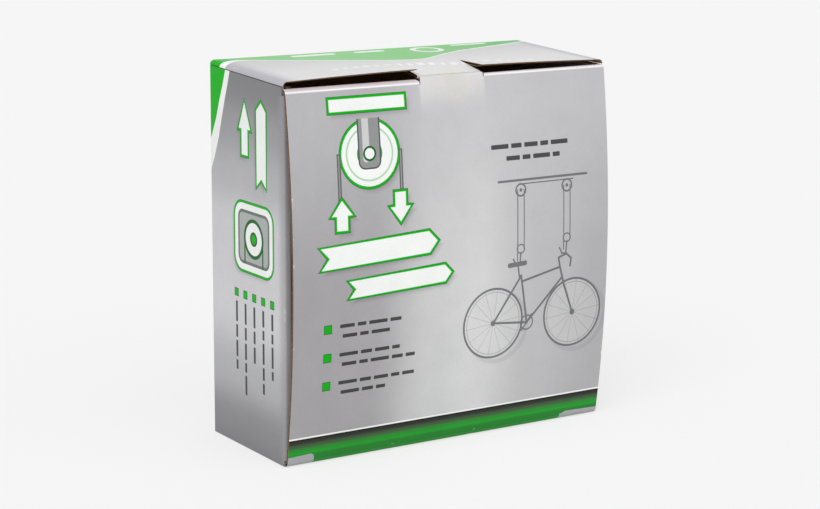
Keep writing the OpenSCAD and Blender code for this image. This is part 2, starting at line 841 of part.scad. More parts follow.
module rear_axle_of(n) {
  color(zinc) placed() rear_place(n) translate([0, 0, bracket_axle_z]) rivet(axle_r);
}

module rear_sheave_of(n) {
  color(nylon) placed() rear_place(n) translate([0, 0, bracket_axle_z]) sheave();
}

module yoke_of(n, place) {
  color(steel_black) placed() block_place(n, place) yoke();
}

module block_axle_of(n, place) {
  color(zinc) placed() block_place(n, place) rivet(axle_r);
}

module block_sheave_of(n, place) {
  color(nylon) placed() block_place(n, place) sheave();
}

module hooks_of(n, place) {
  color(zinc) placed() block_place(n, place) double_hook();
}

module sleeves_of(n, place) {
  color(dipped) placed() block_place(n, place) sleeves();
}

module cleat_of(n) {
  color(steel_black) placed() hoist(n) translate([small_x, cleat_y, floor_z]) cleat();
}

module bracket_screws_of(n) {
  middle = lag_head_h / 2 - lag_l / 2;
  color(zinc) placed() hoist(n) for (share = end_shares, layer = [0, 1])
    translate([small_x + lag_pitch * share + middle, lag_y,
               floor_z + lag_head_w / 2 + layer * (lag_head_w + rest_gap)])
      lag_screw();
}

module cleat_screws_of(n) {
  middle = pan_head_h / 2 - pan_l / 2;
  color(zinc) placed() hoist(n) for (share = end_shares)
    translate([small_x + pan_pitch * share + middle, pan_y, floor_z + pan_head_r]) pan_screw();
}

back_panel();
bottom_wall();
top_wall();
left_side_wall();
right_side_wall();
left_dust_flaps();
right_dust_flaps();
lid_panel();
left_tuck_flap();
right_tuck_flap();
for (n = [1, 2]) {
  front_bracket_of(n);
  front_axles_of(n);
  front_sheave_of(n, brake_axle_x);
  front_sheave_of(n, lead_axle_x);
  brake_cam_of(n);
  brake_rivets_of(n);
  rear_bracket_of(n);
  rear_axle_of(n);
  rear_sheave_of(n);
  yoke_of(n, 0);
  block_axle_of(n, 0);
  block_sheave_of(n, 0);
  hooks_of(n, 0);
  sleeves_of(n, 0);
  yoke_of(n, 1);
  block_axle_of(n, 1);
  block_sheave_of(n, 1);
  hooks_of(n, 1);
  sleeves_of(n, 1);
  cleat_of(n);
  bracket_screws_of(n);
  cleat_screws_of(n);
}
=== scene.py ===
import math

import bpy
from mathutils import Matrix, Vector
from mathutils.geometry import delaunay_2d_cdt


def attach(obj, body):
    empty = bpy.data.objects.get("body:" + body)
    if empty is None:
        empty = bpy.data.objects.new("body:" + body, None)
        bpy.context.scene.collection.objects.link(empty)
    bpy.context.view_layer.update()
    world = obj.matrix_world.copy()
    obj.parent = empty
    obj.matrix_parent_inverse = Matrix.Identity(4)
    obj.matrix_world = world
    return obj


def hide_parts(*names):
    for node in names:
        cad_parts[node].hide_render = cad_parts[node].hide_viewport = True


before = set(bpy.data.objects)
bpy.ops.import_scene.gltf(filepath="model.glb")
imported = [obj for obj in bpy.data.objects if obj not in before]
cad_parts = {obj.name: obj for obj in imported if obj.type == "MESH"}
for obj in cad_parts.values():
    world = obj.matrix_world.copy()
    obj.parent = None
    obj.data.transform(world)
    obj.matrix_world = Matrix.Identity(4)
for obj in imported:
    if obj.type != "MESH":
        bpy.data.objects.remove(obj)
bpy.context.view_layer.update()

MM = 0.001
scene = bpy.context.scene

# Small helpers


def linear(hex_colour):
    """An sRGB hex value as linear colour, opaque."""
    out = []
    for i in (1, 3, 5):
        c = int(hex_colour[i:i + 2], 16) / 255
        out.append(c / 12.92 if c <= 0.04045 else ((c + 0.055) / 1.055) ** 2.4)
    return (*out, 1.0)


def rgb(hex_colour):
    return linear(hex_colour)[:3]


def paint(colour, cover=1.0):
    """A printing ink: its colour, and how much of the ground it covers."""
    return (*(rgb(colour) if isinstance(colour, str) else colour), cover)


def add(tree, kind, links=None, **settings):
    """One node with its settings; links gives each input a value or another node's output."""
    node = tree.nodes.new(kind)
    for key, value in settings.items():
        setattr(node, key, value)
    return connect(tree, node, links or {})


def connect(tree, node, links):
    for key, value in links.items():
        if isinstance(value, bpy.types.NodeSocket):
            tree.links.new(value, node.inputs[key])
        else:
            node.inputs[key].default_value = value
    return node


def material(name, shader):
    """A new material whose tree holds one Principled shader with these constant sockets."""
    mat = bpy.data.materials.new(name)
    mat.use_nodes = True
    tree = mat.node_tree
    tree.nodes.clear()
    body = add(tree, "ShaderNodeBsdfPrincipled", shader)
    add(tree, "ShaderNodeOutputMaterial", {"Surface": body.outputs[0]})
    return mat, tree, body


def ease(t):
    t = min(1.0, max(0.0, t))
    return t * t * (3 - 2 * t)


def bell(x, width):
    """1 at zero, falling off smoothly to both sides."""
    return math.exp(-(x / width) ** 2)


def mix(a, b, t):
    return tuple(p + (q - p) * t for p, q in zip(a, b))


def steps(a, b, n):
    return [a + (b - a) * i / n for i in range(n + 1)]


def turned(loop, cx, cy, tilt):
    """A loop turned about zero and moved to its place."""
    ct, st = math.cos(tilt), math.sin(tilt)
    return [(cx + x * ct - y * st, cy + x * st + y * ct) for x, y in loop]


# The carton's sizes, in millimetres
# They repeat the CAD model's: the carton's own front plane is y = 0 here, and FRONT moves it into the frame.

HALF_W, DEPTH, HEIGHT = 125.0, 100.0, 254.0
BOARD, FOLD_R, PLAY = 2.0, 3.0, 0.1
FRONT = -44.5
FRONT_DROP, TOP_ARCH, SEAM = 4.4, 2.4, 0.5
SLOPE_D = DEPTH - FOLD_R
SIDE_T = 3 * BOARD + 2 * PLAY
LID_R, LID_HALF_W, FACE_Y, ARC_Z = 4.0, 124.5, -2.2, 241.6
ARC_SAG = 8.8
HALF_CHORD = (ARC_Z - LID_R) / 2
ARC_R = (HALF_CHORD ** 2 + ARC_SAG ** 2) / (2 * ARC_SAG)
LEAN = math.asin(HALF_CHORD / ARC_R)
ARC_MID_Y, ARC_MID_Z = FACE_Y + ARC_R * math.cos(LEAN), (ARC_Z + LID_R) / 2
ARC_S = 2 * ARC_R * LEAN
TAB_RISE, TAB_HALF_W = 5.8, 24.5
TAB_S = TAB_RISE / math.cos(LEAN)
FLAP_IN, FLAP_OUT, FLAP_TILT = 26.1, 116.5, math.radians(8)
TAB_SIDE = (TAB_HALF_W + FLAP_IN) / 2
FOLD_S = LID_R * (math.pi / 2 - LEAN + FLAP_TILT)
TONGUE_L, CUT_W = 26.0, 0.6
ROLL_R = BOARD + PLAY / 2
CORNER_CUT_Z, CORNER_CUT_Y = ARC_Z - 0.7, 2.2
LOCK_HALF, LOCK_SHARES = 12.0, (0.25, 0.75)

# The forms that the scene adds: how the lid's right half stands higher, the tongue's bend, the crushed front
# edge of the top, and the paper edges of a cut
RIGHT_LIFT, LIFT_FROM, LIFT_RUN, FADE_FROM = 2.4, 2.0, 22.0, 0.4
BEND_RUN, BEND_SHARE, TONGUE_GAP = 4.0, 1 / TONGUE_L, 0.3
CRUSHED, CRUSH_RUN = 0.25, 7.0
LINER, RIM_IN, FACED_IN = 0.35, 0.9, 0.02


def arc_point(mid, r, turn):
    """A point of a fold in section."""
    return mid[0] + r * math.cos(turn), mid[1] + r * math.sin(turn)


def top_height(x, y):
    slope = max(0.0, (SLOPE_D - y) / SLOPE_D)
    return HEIGHT - slope * (FRONT_DROP - TOP_ARCH * (1 - (x / HALF_W) ** 2))


# The panels, from their unfolded outlines
# Each place function takes a point of the unfolded board and a depth below its printed face.


def place_lid(s, x, d):
    """The lid's right half stands a little higher than its left, as on a carton that was opened often."""
    x, y, z = lid_section(s, x, d)
    end = TAB_S if abs(x) < TAB_SIDE else FOLD_S
    fade = 1 - ease((s - ARC_S - FADE_FROM * end) / ((1 - FADE_FROM) * end))
    rise = ease((x - LIFT_FROM) / LIFT_RUN) * min(1.0, s / ARC_S) ** 3
    return x, y, z + RIGHT_LIFT * rise * fade


def lid_section(s, x, d):
    """Up the bowed lid from its hinge, then round the top fold, or straight up the raised middle."""
    if s <= ARC_S:
        y, z = arc_point((ARC_MID_Y, ARC_MID_Z), ARC_R - d, math.pi + LEAN - s / ARC_R)
        return x, y, z
    if abs(x) < TAB_SIDE:
        up = s - ARC_S
        return (x, FACE_Y + up * math.sin(LEAN) + d * math.cos(LEAN),
                ARC_Z + up * math.cos(LEAN) - d * math.sin(LEAN))
    mid = (FACE_Y + LID_R * math.cos(LEAN), ARC_Z - LID_R * math.sin(LEAN))
    y, z = arc_point(mid, LID_R - d, math.pi - LEAN - (s - ARC_S) / LID_R)
    return x, y, z


def place_top(p, q, d):
    """Across the top wall and its side folds, and from the front edge over the fold to the back."""
    if abs(p) < TAB_HALF_W + CUT_W / 2 and q < TONGUE_L:
        out = TONGUE_L - q
        t = min(1.0, ease(out / BEND_RUN) * BEND_SHARE + out / TONGUE_L * (1 - BEND_SHARE))
        front_y = FACE_Y + BOARD / math.cos(LEAN) + TAB_RISE * math.tan(LEAN) + TONGUE_GAP
        front_z = ARC_Z + TAB_RISE + PLAY
        back_z = top_height(p, TONGUE_L)
        return p, TONGUE_L + (front_y - TONGUE_L) * t, back_z + (front_z - back_z) * t - d
    d *= CRUSHED + (1 - CRUSHED) * ease(q / CRUSH_RUN)
    flat = HALF_W - FOLD_R
    a = math.pi / 2 - max(0.0, abs(p) - flat) / FOLD_R
    b = math.pi / 2 - max(0.0, q - SLOPE_D) / FOLD_R
    side = -1 if p < 0 else 1
    x, y = max(-flat, min(flat, p)), min(SLOPE_D, q)
    n = Vector((side * math.cos(a), math.cos(b), math.sin(a) * math.sin(b))).normalized()
    r = FOLD_R - d
    return x + r * n.x, y + r * n.y, top_height(x, y) - FOLD_R + r * n.z


SIDE_FOLD = FOLD_R * math.pi / 2
SIDE_FLAT = SLOPE_D - ROLL_R
ROLL_S = ROLL_R * math.pi / 2
SIDE_FRONT = SIDE_T - 2 * ROLL_R
SIDE_BREAKS = [SIDE_FOLD, SIDE_FLAT, ROLL_S, SIDE_FRONT, ROLL_S, DEPTH - BOARD - PLAY - ROLL_R]
SIDE_AT = [sum(SIDE_BREAKS[:i + 1]) for i in range(len(SIDE_BREAKS))]


def place_side(s, z, d):
    """From the fold at the back along the outer panel, round the rolled front and back inside."""
    if s <= SIDE_AT[0]:
        x, y = arc_point((-HALF_W + FOLD_R, SLOPE_D), FOLD_R - d, math.pi / 2 + s / FOLD_R)
    elif s <= SIDE_AT[1]:
        x, y = -HALF_W + d, SLOPE_D - (s - SIDE_AT[0])
    elif s <= SIDE_AT[2]:
        x, y = arc_point((-HALF_W + ROLL_R, ROLL_R), ROLL_R - d, math.pi + (s - SIDE_AT[1]) / ROLL_R)
    elif s <= SIDE_AT[3]:
        x, y = -HALF_W + ROLL_R + (s - SIDE_AT[2]), d
    elif s <= SIDE_AT[4]:
        turn = (s - SIDE_AT[3]) / ROLL_R - math.pi / 2
        x, y = arc_point((-HALF_W + SIDE_T - ROLL_R, ROLL_R), ROLL_R - d, turn)
    else:
        x, y = -HALF_W + SIDE_T - d, ROLL_R + (s - SIDE_AT[4])
    return x, y, z


def place_right(s, z, d):
    x, y, z = place_side(s, z, d)
    return -x, y, z


HINGE_S = LID_R * math.pi / 2
HINGE_Y = FACE_Y + LID_R
BOTTOM_AT = (HINGE_S, HINGE_S + SLOPE_D - HINGE_Y, HINGE_S + SLOPE_D - HINGE_Y + SIDE_FOLD)


def place_bottom(s, x, d):
    """From the lid's hinge fold along the bottom to the fold at the back."""
    if s <= BOTTOM_AT[0]:
        y, z = arc_point((HINGE_Y, LID_R), LID_R - d, math.pi + s / LID_R)
    elif s <= BOTTOM_AT[1]:
        y, z = HINGE_Y + s - BOTTOM_AT[0], d
    else:
        y, z = arc_point((SLOPE_D, FOLD_R), FOLD_R - d, -math.pi / 2 + (s - BOTTOM_AT[1]) / FOLD_R)
    return x, y, z


def place_back(z, x, d):
    return x, DEPTH - d, z


def side_top(y):
    return HEIGHT - FRONT_DROP * (1 - y / SLOPE_D) - FOLD_R - SEAM


# Board with printing on its face

CUT_EPSILON = 1e-4
# Where a rim turns back on itself, the sum of its two edges' normals is shorter than this
TURNS_BACK = 0.3


def area2(loop):
    return sum(a[0] * b[1] - b[0] * a[1] for a, b in zip(loop, loop[1:] + loop[:1]))


def cut_sheet(outline, holes, lines, inks):
    """The unfolded board cut into triangles along the printing's edges and the fold lines: its points, its
    triangles, and for each triangle the number of the last ink on it, or -1."""
    points, edges, faces = [], [], []
    for loop in [outline, *holes, *(loop for loop, _ in inks)]:
        if area2(loop) < 0:
            loop = loop[::-1]
        faces.append(list(range(len(points), len(points) + len(loop))))
        points.extend(Vector(p) for p in loop)
    first_ink = 1 + len(holes)
    low = [min(p[k] for p in outline) for k in (0, 1)]
    high = [max(p[k] for p in outline) for k in (0, 1)]
    for k in (0, 1):
        for at in lines[k]:
            ends = [list(low), list(high)]
            ends[0][k] = ends[1][k] = at
            edges.append((len(points), len(points) + 1))
            points.extend(Vector(e) for e in ends)
    flat, _, cells, _, _, made_from = delaunay_2d_cdt(points, edges, faces, 0, CUT_EPSILON, True)
    kept, layer = [], []
    for cell, parents in zip(cells, made_from):
        if 0 in parents and not any(0 < p < first_ink for p in parents):
            kept.append(list(cell))
            layer.append(max([p - first_ink for p in parents if p >= first_ink], default=-1))
    used = sorted({v for cell in kept for v in cell})
    number = {v: i for i, v in enumerate(used)}
    return [flat[v] for v in used], [[number[v] for v in cell] for cell in kept], layer


def add_rims(flat, kept, faced, at, verts, polys, slots):
    """Closes every cut edge, adding to verts, polys and slots: two paper edges, and between them the hollow
    that shows the fluted middle. Gives the unfolded point of each four corners that it adds."""
    count = len(flat)
    sides = {(a, b): None for c in kept for a, b in zip(c, c[1:] + c[:1])}
    rim = [(a, b) for a, b in sides if (b, a) not in sides]
    after = dict(rim)
    before = {b: a for a, b in rim}
    ring = {}
    for v in after:
        if v not in before:
            continue
        e1 = (flat[v] - flat[before[v]]).normalized()
        e2 = (flat[after[v]] - flat[v]).normalized()
        inward = Vector((-e1.y - e2.y, e1.x + e2.x))
        inward = inward.normalized() if inward.length > TURNS_BACK else Vector((-e1.y, e1.x))
        inward *= FACED_IN if faced(*flat[v]) else RIM_IN
        start = len(verts)
        verts.append(at(v, LINER))
        verts.append(at(v, LINER, inward))
        verts.append(at(v, BOARD - LINER, inward))
        verts.append(at(v, BOARD - LINER))
        ring[v] = [v, *range(start, start + 4), v + count]
    for a, b in rim:
        if a not in ring or b not in ring:
            continue
        covered = faced(*flat[a]) and faced(*flat[b])
        for k in range(5):
            polys.append((ring[b][k], ring[a][k], ring[a][k + 1], ring[b][k + 1]))
            # Slot 3, the fluted hollow, is dark as painted shade
            slots.append(0 if covered else 3 if k == 2 else 2)
    return [flat[v] for v in ring]


def mark_sharp(mesh):
    """An edge is sharp where the finish changes, or where a flat face meets a smooth one."""
    sharp = mesh.attributes.new("sharp_edge", "BOOLEAN", "EDGE")
    kinds = {}
    for poly in mesh.polygons:
        for key in poly.edge_keys:
            kinds.setdefault(key, set()).add((poly.material_index, poly.use_smooth))
    for edge in mesh.edges:
        sharp.data[edge.index].value = len(kinds[edge.key]) > 1


def board(name, outline, holes, lines, place, base, inks, wear, mats, faced=lambda u, v: False):
    """A folded board: the cut sheet is bent into place, given its thickness and rims, and coloured at each
    corner. Where faced says so, a rim is plain printed paper."""
    flat, kept, layer = cut_sheet(outline, holes, lines, inks)
    count = len(flat)

    def at(v, d, shift=(0.0, 0.0)):
        x, y, z = place(flat[v].x + shift[0], flat[v].y + shift[1], d)
        return (x * MM, (y + FRONT) * MM, z * MM)

    verts = [at(v, 0) for v in range(count)] + [at(v, BOARD) for v in range(count)]
    polys = [tuple(c) for c in kept] + [(c[2] + count, c[1] + count, c[0] + count) for c in kept]
    slots = [0] * len(kept) + [1] * len(kept)
    rim_points = add_rims(flat, kept, faced, at, verts, polys, slots)
    mesh = bpy.data.meshes.new(name)
    mesh.from_pydata(verts, [], polys)
    # The unfolded axes may run either way round the outward face
    mid = sum((flat[v] for v in kept[0]), Vector((0, 0))) / 3
    out = Vector(place(mid.x, mid.y, 0)) - Vector(place(mid.x, mid.y, 1))
    if mesh.polygons[0].normal.dot(out) < 0:
        mesh.flip_normals()
    ink = mesh.color_attributes.new("ink", "FLOAT_COLOR", "CORNER")
    worn = mesh.attributes.new("wear", "FLOAT", "POINT")
    for i, p in enumerate(flat):
        worn.data[i].value = wear(*p)
    for i, poly in enumerate(mesh.polygons):
        poly.material_index = slots[i]
        poly.use_smooth = i < 2 * len(kept)
        if len(kept) <= i < 2 * len(kept):
            continue
        laid = inks[layer[i]][1] if i < len(kept) and layer[i] >= 0 else None
        for li in poly.loop_indices:
            v = mesh.loops[li].vertex_index
            p = flat[v % count] if v < 2 * count else rim_points[(v - 2 * count) // 4]
            colour = base(*p)
            if laid:
                over = laid(*p) if callable(laid) else laid
                colour = mix(colour, over[:3], over[3])
            ink.data[li].color = paint(colour)
    for m in mats:
        mesh.materials.append(m)
    mark_sharp(mesh)
    mesh.validate()
    obj = bpy.data.objects.new(name, mesh)
    scene.collection.objects.link(obj)
    return obj


# Printed shapes

LEAF = rgb("#02ac0c")
DEEP = rgb("#14611f")
WHITE = rgb("#eef0ee")
INK_BLACK = rgb("#2a2c2b")
PENCIL = rgb("#5c5c5f")
SHADE = rgb("#4e4f52")
BARE_GREY = rgb("#a5a5a7")
PALE_LEAF = mix(LEAF, WHITE, 0.5)
CORNER_STEPS, DISC_STEPS, CIRCLE_STEPS = 6, 40, 48
SHADOW_AT, SHADOW_SOFT, SHADOW_COVER, SHADOW_STEPS = (2.6, -3.0), 5.0, 0.4, 6
LINE_OUT, EDGE_OUT = 2.0, 1.6
CORNER_MOST, CORNER_LEAST = 2.0, 0.4


def pill(cx, cy, w, h, r, tilt=0.0):
    """A rectangle with round corners, as a loop of points."""
    r = min(r, w / 2, h / 2)
    loop = []
    for k, (sx, sy) in enumerate(((1, 1), (-1, 1), (-1, -1), (1, -1))):
        for i in range(CORNER_STEPS + 1):
            a = math.pi / 2 * (k + i / CORNER_STEPS)
            loop.append((sx * (w / 2 - r) + r * math.cos(a), sy * (h / 2 - r) + r * math.sin(a)))
    return turned(loop, cx, cy, tilt)


def round_point(cx, cy, r, share):
    a = 2 * math.pi * share
    return cx + r * math.cos(a), cy + r * math.sin(a)


def disc(cx, cy, r):
    return [round_point(cx, cy, r, i / DISC_STEPS) for i in range(DISC_STEPS)]


def bar(a, b, width):
    """A straight stroke."""
    d = (Vector(b) - Vector(a)).normalized() * width / 2
    n = Vector((-d.y, d.x))
    a, b = Vector(a) - d, Vector(b) + d
    return [tuple(a + n), tuple(a - n), tuple(b - n), tuple(b + n)]


def stroke(points, width, colour):
    """A line drawing's stroke along some points."""
    return [(bar(a, b, width), colour) for a, b in zip(points, points[1:])]


def circle_line(cx, cy, r, width, colour, fill=None):
    """A drawn circle; without a fill, the ground shows inside it."""
    out = [(disc(cx, cy, r), fill)] if fill else []
    for i in range(CIRCLE_STEPS):
        corners = ((width / 2, i), (width / 2, i + 1), (-width / 2, i + 1), (-width / 2, i))
        out.append(([round_point(cx, cy, r + half, k / CIRCLE_STEPS) for half, k in corners], colour))
    return out


def shadow(shape):
    """A printed soft shadow: the same shape laid down several times, each smaller and darker."""
    out = []
    for i in range(SHADOW_STEPS):
        grow = SHADOW_SOFT * (1 - 2 * i / (SHADOW_STEPS - 1)) / 2
        out.append((shape(*SHADOW_AT, grow), paint(SHADE, ease((i + 1) / SHADOW_STEPS) * SHADOW_COVER)))
    return out


def grown(loop, by):
    """A loop moved outward by a distance, with sharp corners."""
    if area2(loop) < 0:
        loop = loop[::-1]
    out = []
    for a, b, c in zip(loop[-1:] + loop[:-1], loop, loop[1:] + loop[:1]):
        e1, e2 = (Vector(b) - Vector(a)).normalized(), (Vector(c) - Vector(b)).normalized()
        n = Vector((e1.y + e2.y, -e1.x - e2.x))
        out.append(tuple(Vector(b) + n * by * min(CORNER_MOST, 2 / max(CORNER_LEAST, n.length_squared))))
    return out


def badge(loop):
    """A white shape with a green outline and a soft shadow."""
    def shape(dx, dy, grow):
        return grown([(x + dx, y + dy) for x, y in loop], grow)

    out = shadow(shape)
    for grow, colour in ((LINE_OUT, DEEP), (EDGE_OUT, LEAF), (0.2, mix(LEAF, WHITE, 0.55)), (0, WHITE)):
        out.append((shape(0, 0, grow), paint(colour)))
    return out


def badge_ring(cx, cy, r_out, r_in):
    """A white ring with green outlines and a soft shadow."""
    def shape(dx, dy, grow):
        return disc(cx + dx, cy + dy, r_out + grow)

    out = shadow(shape)
    for grow, colour in ((LINE_OUT, DEEP), (EDGE_OUT, LEAF), (0, WHITE)):
        out.append((shape(0, 0, grow), paint(colour)))
    return out + [(disc(cx, cy, r_in), paint(LEAF)), (disc(cx, cy, r_in - EDGE_OUT), paint(DEEP))]


def ribbon(cx, cy, w, h, tilt=0.0):
    """A banner with a notched start and a pointed end."""
    tip = 0.45 * h
    loop = [(-w / 2, -h / 2), (w / 2 - tip, -h / 2), (w / 2, 0), (w / 2 - tip, h / 2), (-w / 2, h / 2),
            (tip - w / 2, 0)]
    return turned(loop, cx, cy, tilt)


def arrow(cx, cy, w, h, up):
    """A block arrow that points up or down."""
    t = 0.26 * w
    loop = [(-t, -h / 2), (t, -h / 2), (t, 0), (w / 2, 0), (0, h / 2), (-w / 2, 0), (-t, 0)]
    return [(cx + x, cy + y * up) for x, y in loop]


def tick_square(cx, cy, size):
    """A small green square with a dark outline."""
    whole = size + 1.0
    return [(pill(cx, cy, whole, whole, 0.2), paint(DEEP)), (pill(cx, cy, size, size, 0.1), paint(LEAF))]


def copy_line(x, y, length, height, upright=False):
    """A broken row of thin dark bars."""
    runs, gap, shortest = (11.0, 6.5, 14.0, 8.5), 2.2, 4
    out, start, k = [], 0.0, int(length)
    while start < length - shortest:
        run = min(length - start, runs[k % len(runs)])
        mid = start + run / 2
        place = (x, y - mid, height, run) if upright else (x + mid, y, run, height)
        out.append((pill(*place, 0.5), paint(INK_BLACK, 0.92)))
        start += run + gap
        k += 1
    return out


def hung_bicycle(x, z, size):
    """A pencil drawing of a bicycle that hangs from two ropes over pulleys. Places are shares of its size."""
    wheel, spokes = 0.36 * size, 14
    ink, faint = paint(PENCIL, 0.85), paint(PENCIL, 0.45)
    out = []

    def at(u, v):
        return x + u * size, z + v * size

    for cu in (0.0, 1.0):
        for width in (3.2, 1.6):
            out += circle_line(*at(cu + 0.06, -0.05), wheel, width, paint(SHADE, 0.13))
    for cu in (0.0, 1.0):
        hub = at(cu, 0)
        out.append((disc(*hub, wheel), paint(mix(PENCIL, WHITE, 0.8), 0.25)))
        for i in range(spokes):
            a = math.pi * 2 * i / spokes + 0.1
            reach = 0.35 * size
            out += stroke([hub, (hub[0] + reach * math.cos(a), hub[1] + reach * math.sin(a))], 0.28, faint)
        out += circle_line(*hub, wheel, 1.5, ink)
        out += circle_line(*hub, 0.325 * size, 0.5, faint)
        out.append((disc(*hub, 0.03 * size), ink))
    crank, seat, head = at(0.42, -0.04), at(0.33, 0.46), at(0.82, 0.50)
    for line in ([at(0, 0), seat], [at(0, 0), crank], [crank, seat], [crank, at(0.84, 0.38)],
                 [at(0.345, 0.40), head], [head, at(0.88, 0.30), at(1.0, 0)]):
        out += stroke(line, 1.5, ink)
    out += stroke([at(0.31, 0.44), at(0.29, 0.56)], 1.2, ink)
    out += [(pill(*at(0.28, 0.585), 0.24 * size, 0.05 * size, 1.4, 0.05), ink)]
    out += stroke([head, at(0.80, 0.60), at(0.90, 0.63), at(0.96, 0.58), at(0.95, 0.50)], 1.4, ink)
    out += circle_line(*crank, 0.075 * size, 1.0, ink)
    out += stroke([at(0.36, -0.12), at(0.48, 0.04)], 1.1, ink)
    top = 1.34
    for u, v in ((0.28, 0.62), (0.86, 0.68)):
        out += stroke([at(u, v), at(u, top)], 0.8, ink)
        out += stroke([at(u + 0.08, v + 0.10), at(u + 0.08, top)], 0.8, ink)
        hook = ((-0.05, 0.02), (-0.02, -0.04), (0.03, -0.04), (0.04, 0.08))
        out += stroke([at(u + du, v + dv) for du, dv in hook], 1.1, ink)
        out += circle_line(*at(u + 0.04, v + 0.12), 0.045 * size, 0.9, ink)
        pulley = at(u + 0.04, top)
        out += circle_line(*pulley, 0.06 * size, 1.2, ink)
        out.append((disc(*pulley, 0.018 * size), ink))
    out += stroke([at(0.30, 1.40), at(0.98, 1.40)], 0.8, ink)
    out += stroke([at(0.05, 1.44), at(1.15, 1.44)], 1.6, ink)
    return out


# Printing of each panel
# Motifs lie at x, z in millimetres on the lid, at the distance behind the front edge and z on a side.

BAND_TOP, BAND_LINE, BAND_DARK, FOOT_Z = 19.4, 1.1, 0.6, 7.4
LINE_Z = BAND_TOP - BAND_LINE
# How far printing runs over the edge of a sheet
OVERRUN = 1.0


def lid_z(s):
    """Height of a place on the unfolded lid."""
    return place_lid(min(s, ARC_S), 0, 0)[2]


def lid_s(z):
    """The place on the unfolded lid at a height."""
    return (math.asin((z - ARC_MID_Z) / ARC_R) + LEAN) * ARC_R


def between(stops, at):
    """A colour on a row of stops, each with its place and its hex value."""
    at = min(stops[-1][0], max(stops[0][0], at))
    for (a, low), (b, high) in zip(stops, stops[1:]):
        if at <= b:
            return mix(rgb(low), rgb(high), ease((at - a) / (b - a)))
    return rgb(stops[-1][1])


# Tones as stops, each at its place: across the lid's half width, up the band, across the top, up a side
# Across and up the lid, the grey is partly the print's gradient and partly painted light and shade: palest up
# the middle, darkest to the left
ACROSS_LOW = ((-1.0, "#a09ea0"), (-0.55, "#a3a1a3"), (-0.12, "#c9c9ca"), (0.12, "#d0d0d0"), (0.5, "#bab9bb"),
              (1.0, "#acabad"))
ACROSS_HIGH = ((-1.0, "#b3b2b5"), (-0.5, "#b0afb2"), (-0.1, "#c1c0c2"), (0.2, "#c2c1c3"), (0.6, "#bcbbbd"),
               (1.0, "#b9b8bc"))
BAND_TONES = ((0.0, "#1e1f1c"), (0.2, "#30322d"), (0.48, "#41603d"), (0.74, "#27902e"), (1.0, "#1fa02a"))
TOP_GREENS = ((-123, "#02ac0c"), (-118, "#43b64a"), (-110, "#7cc27a"), (-60, "#86c982"), (20, "#80c57c"),
              (110, "#68b86a"))
SIDE_TONES = ((0, "#838285"), (18, "#8b8a8d"), (48, "#b0b0b3"), (90, "#cbcbce"), (150, "#c9c9cc"),
              (180, "#b2b2b5"), (215, "#99999c"), (240, "#828285"), (254, "#7e7e81"))
# The white of the painted highlight along the lid's top fold
FOLD_HIGHLIGHT_WHITE = "#f4f2f2"


def lid_base(s, x):
    """Silver grey, palest up the middle partly as painted light; the top fold has a painted highlight and the
    paler back of the crease.
    """
    u = x / LID_HALF_W
    grey = mix(between(ACROSS_LOW, u), between(ACROSS_HIGH, u), ease((lid_z(s) - 110) / 120))
    up = s - ARC_S
    if abs(x) < TAB_HALF_W + 0.5:
        return mix(grey, rgb("#d6d5d4"), ease((up + 22) / 26))
    # Painted highlight on the top fold: a white line, and above it a pinkish grey that is partly painted
    # light
    if up > 1.5:
        return mix(rgb(FOLD_HIGHLIGHT_WHITE), rgb("#cdc4c8"), ease((up - 1.5) / 0.7))
    return mix(grey, rgb(FOLD_HIGHLIGHT_WHITE), ease((up - 0.5) / 0.7))


def band(s, x):
    """The strip at the bottom fades from black into green."""
    z = lid_z(s)
    # Below the band: the hinge fold's green, darkened with painted shade
    if z < FOOT_Z:
        return paint(shaded_foot_green(z))
    return paint(between(BAND_TONES, (LINE_Z - z) / (LINE_Z - FOOT_Z)))


def shaded_foot_green(z):
    """The strip along the hinge fold is painted darker as shade, with three crease lines of painted shade."""
    crease = max(bell(z - FOOT_Z + 0.2, 0.35), bell(z - FOOT_Z + 2.2, 0.3), bell(z - LID_R + 0.4, 0.4))
    return mix(rgb("#2b8a33"), rgb("#1c5524"), 0.6 * crease)


def lid_strip(a, b):
    half = LID_HALF_W + OVERRUN
    return [(a, -half), (b, -half), (b, half), (a, half)]


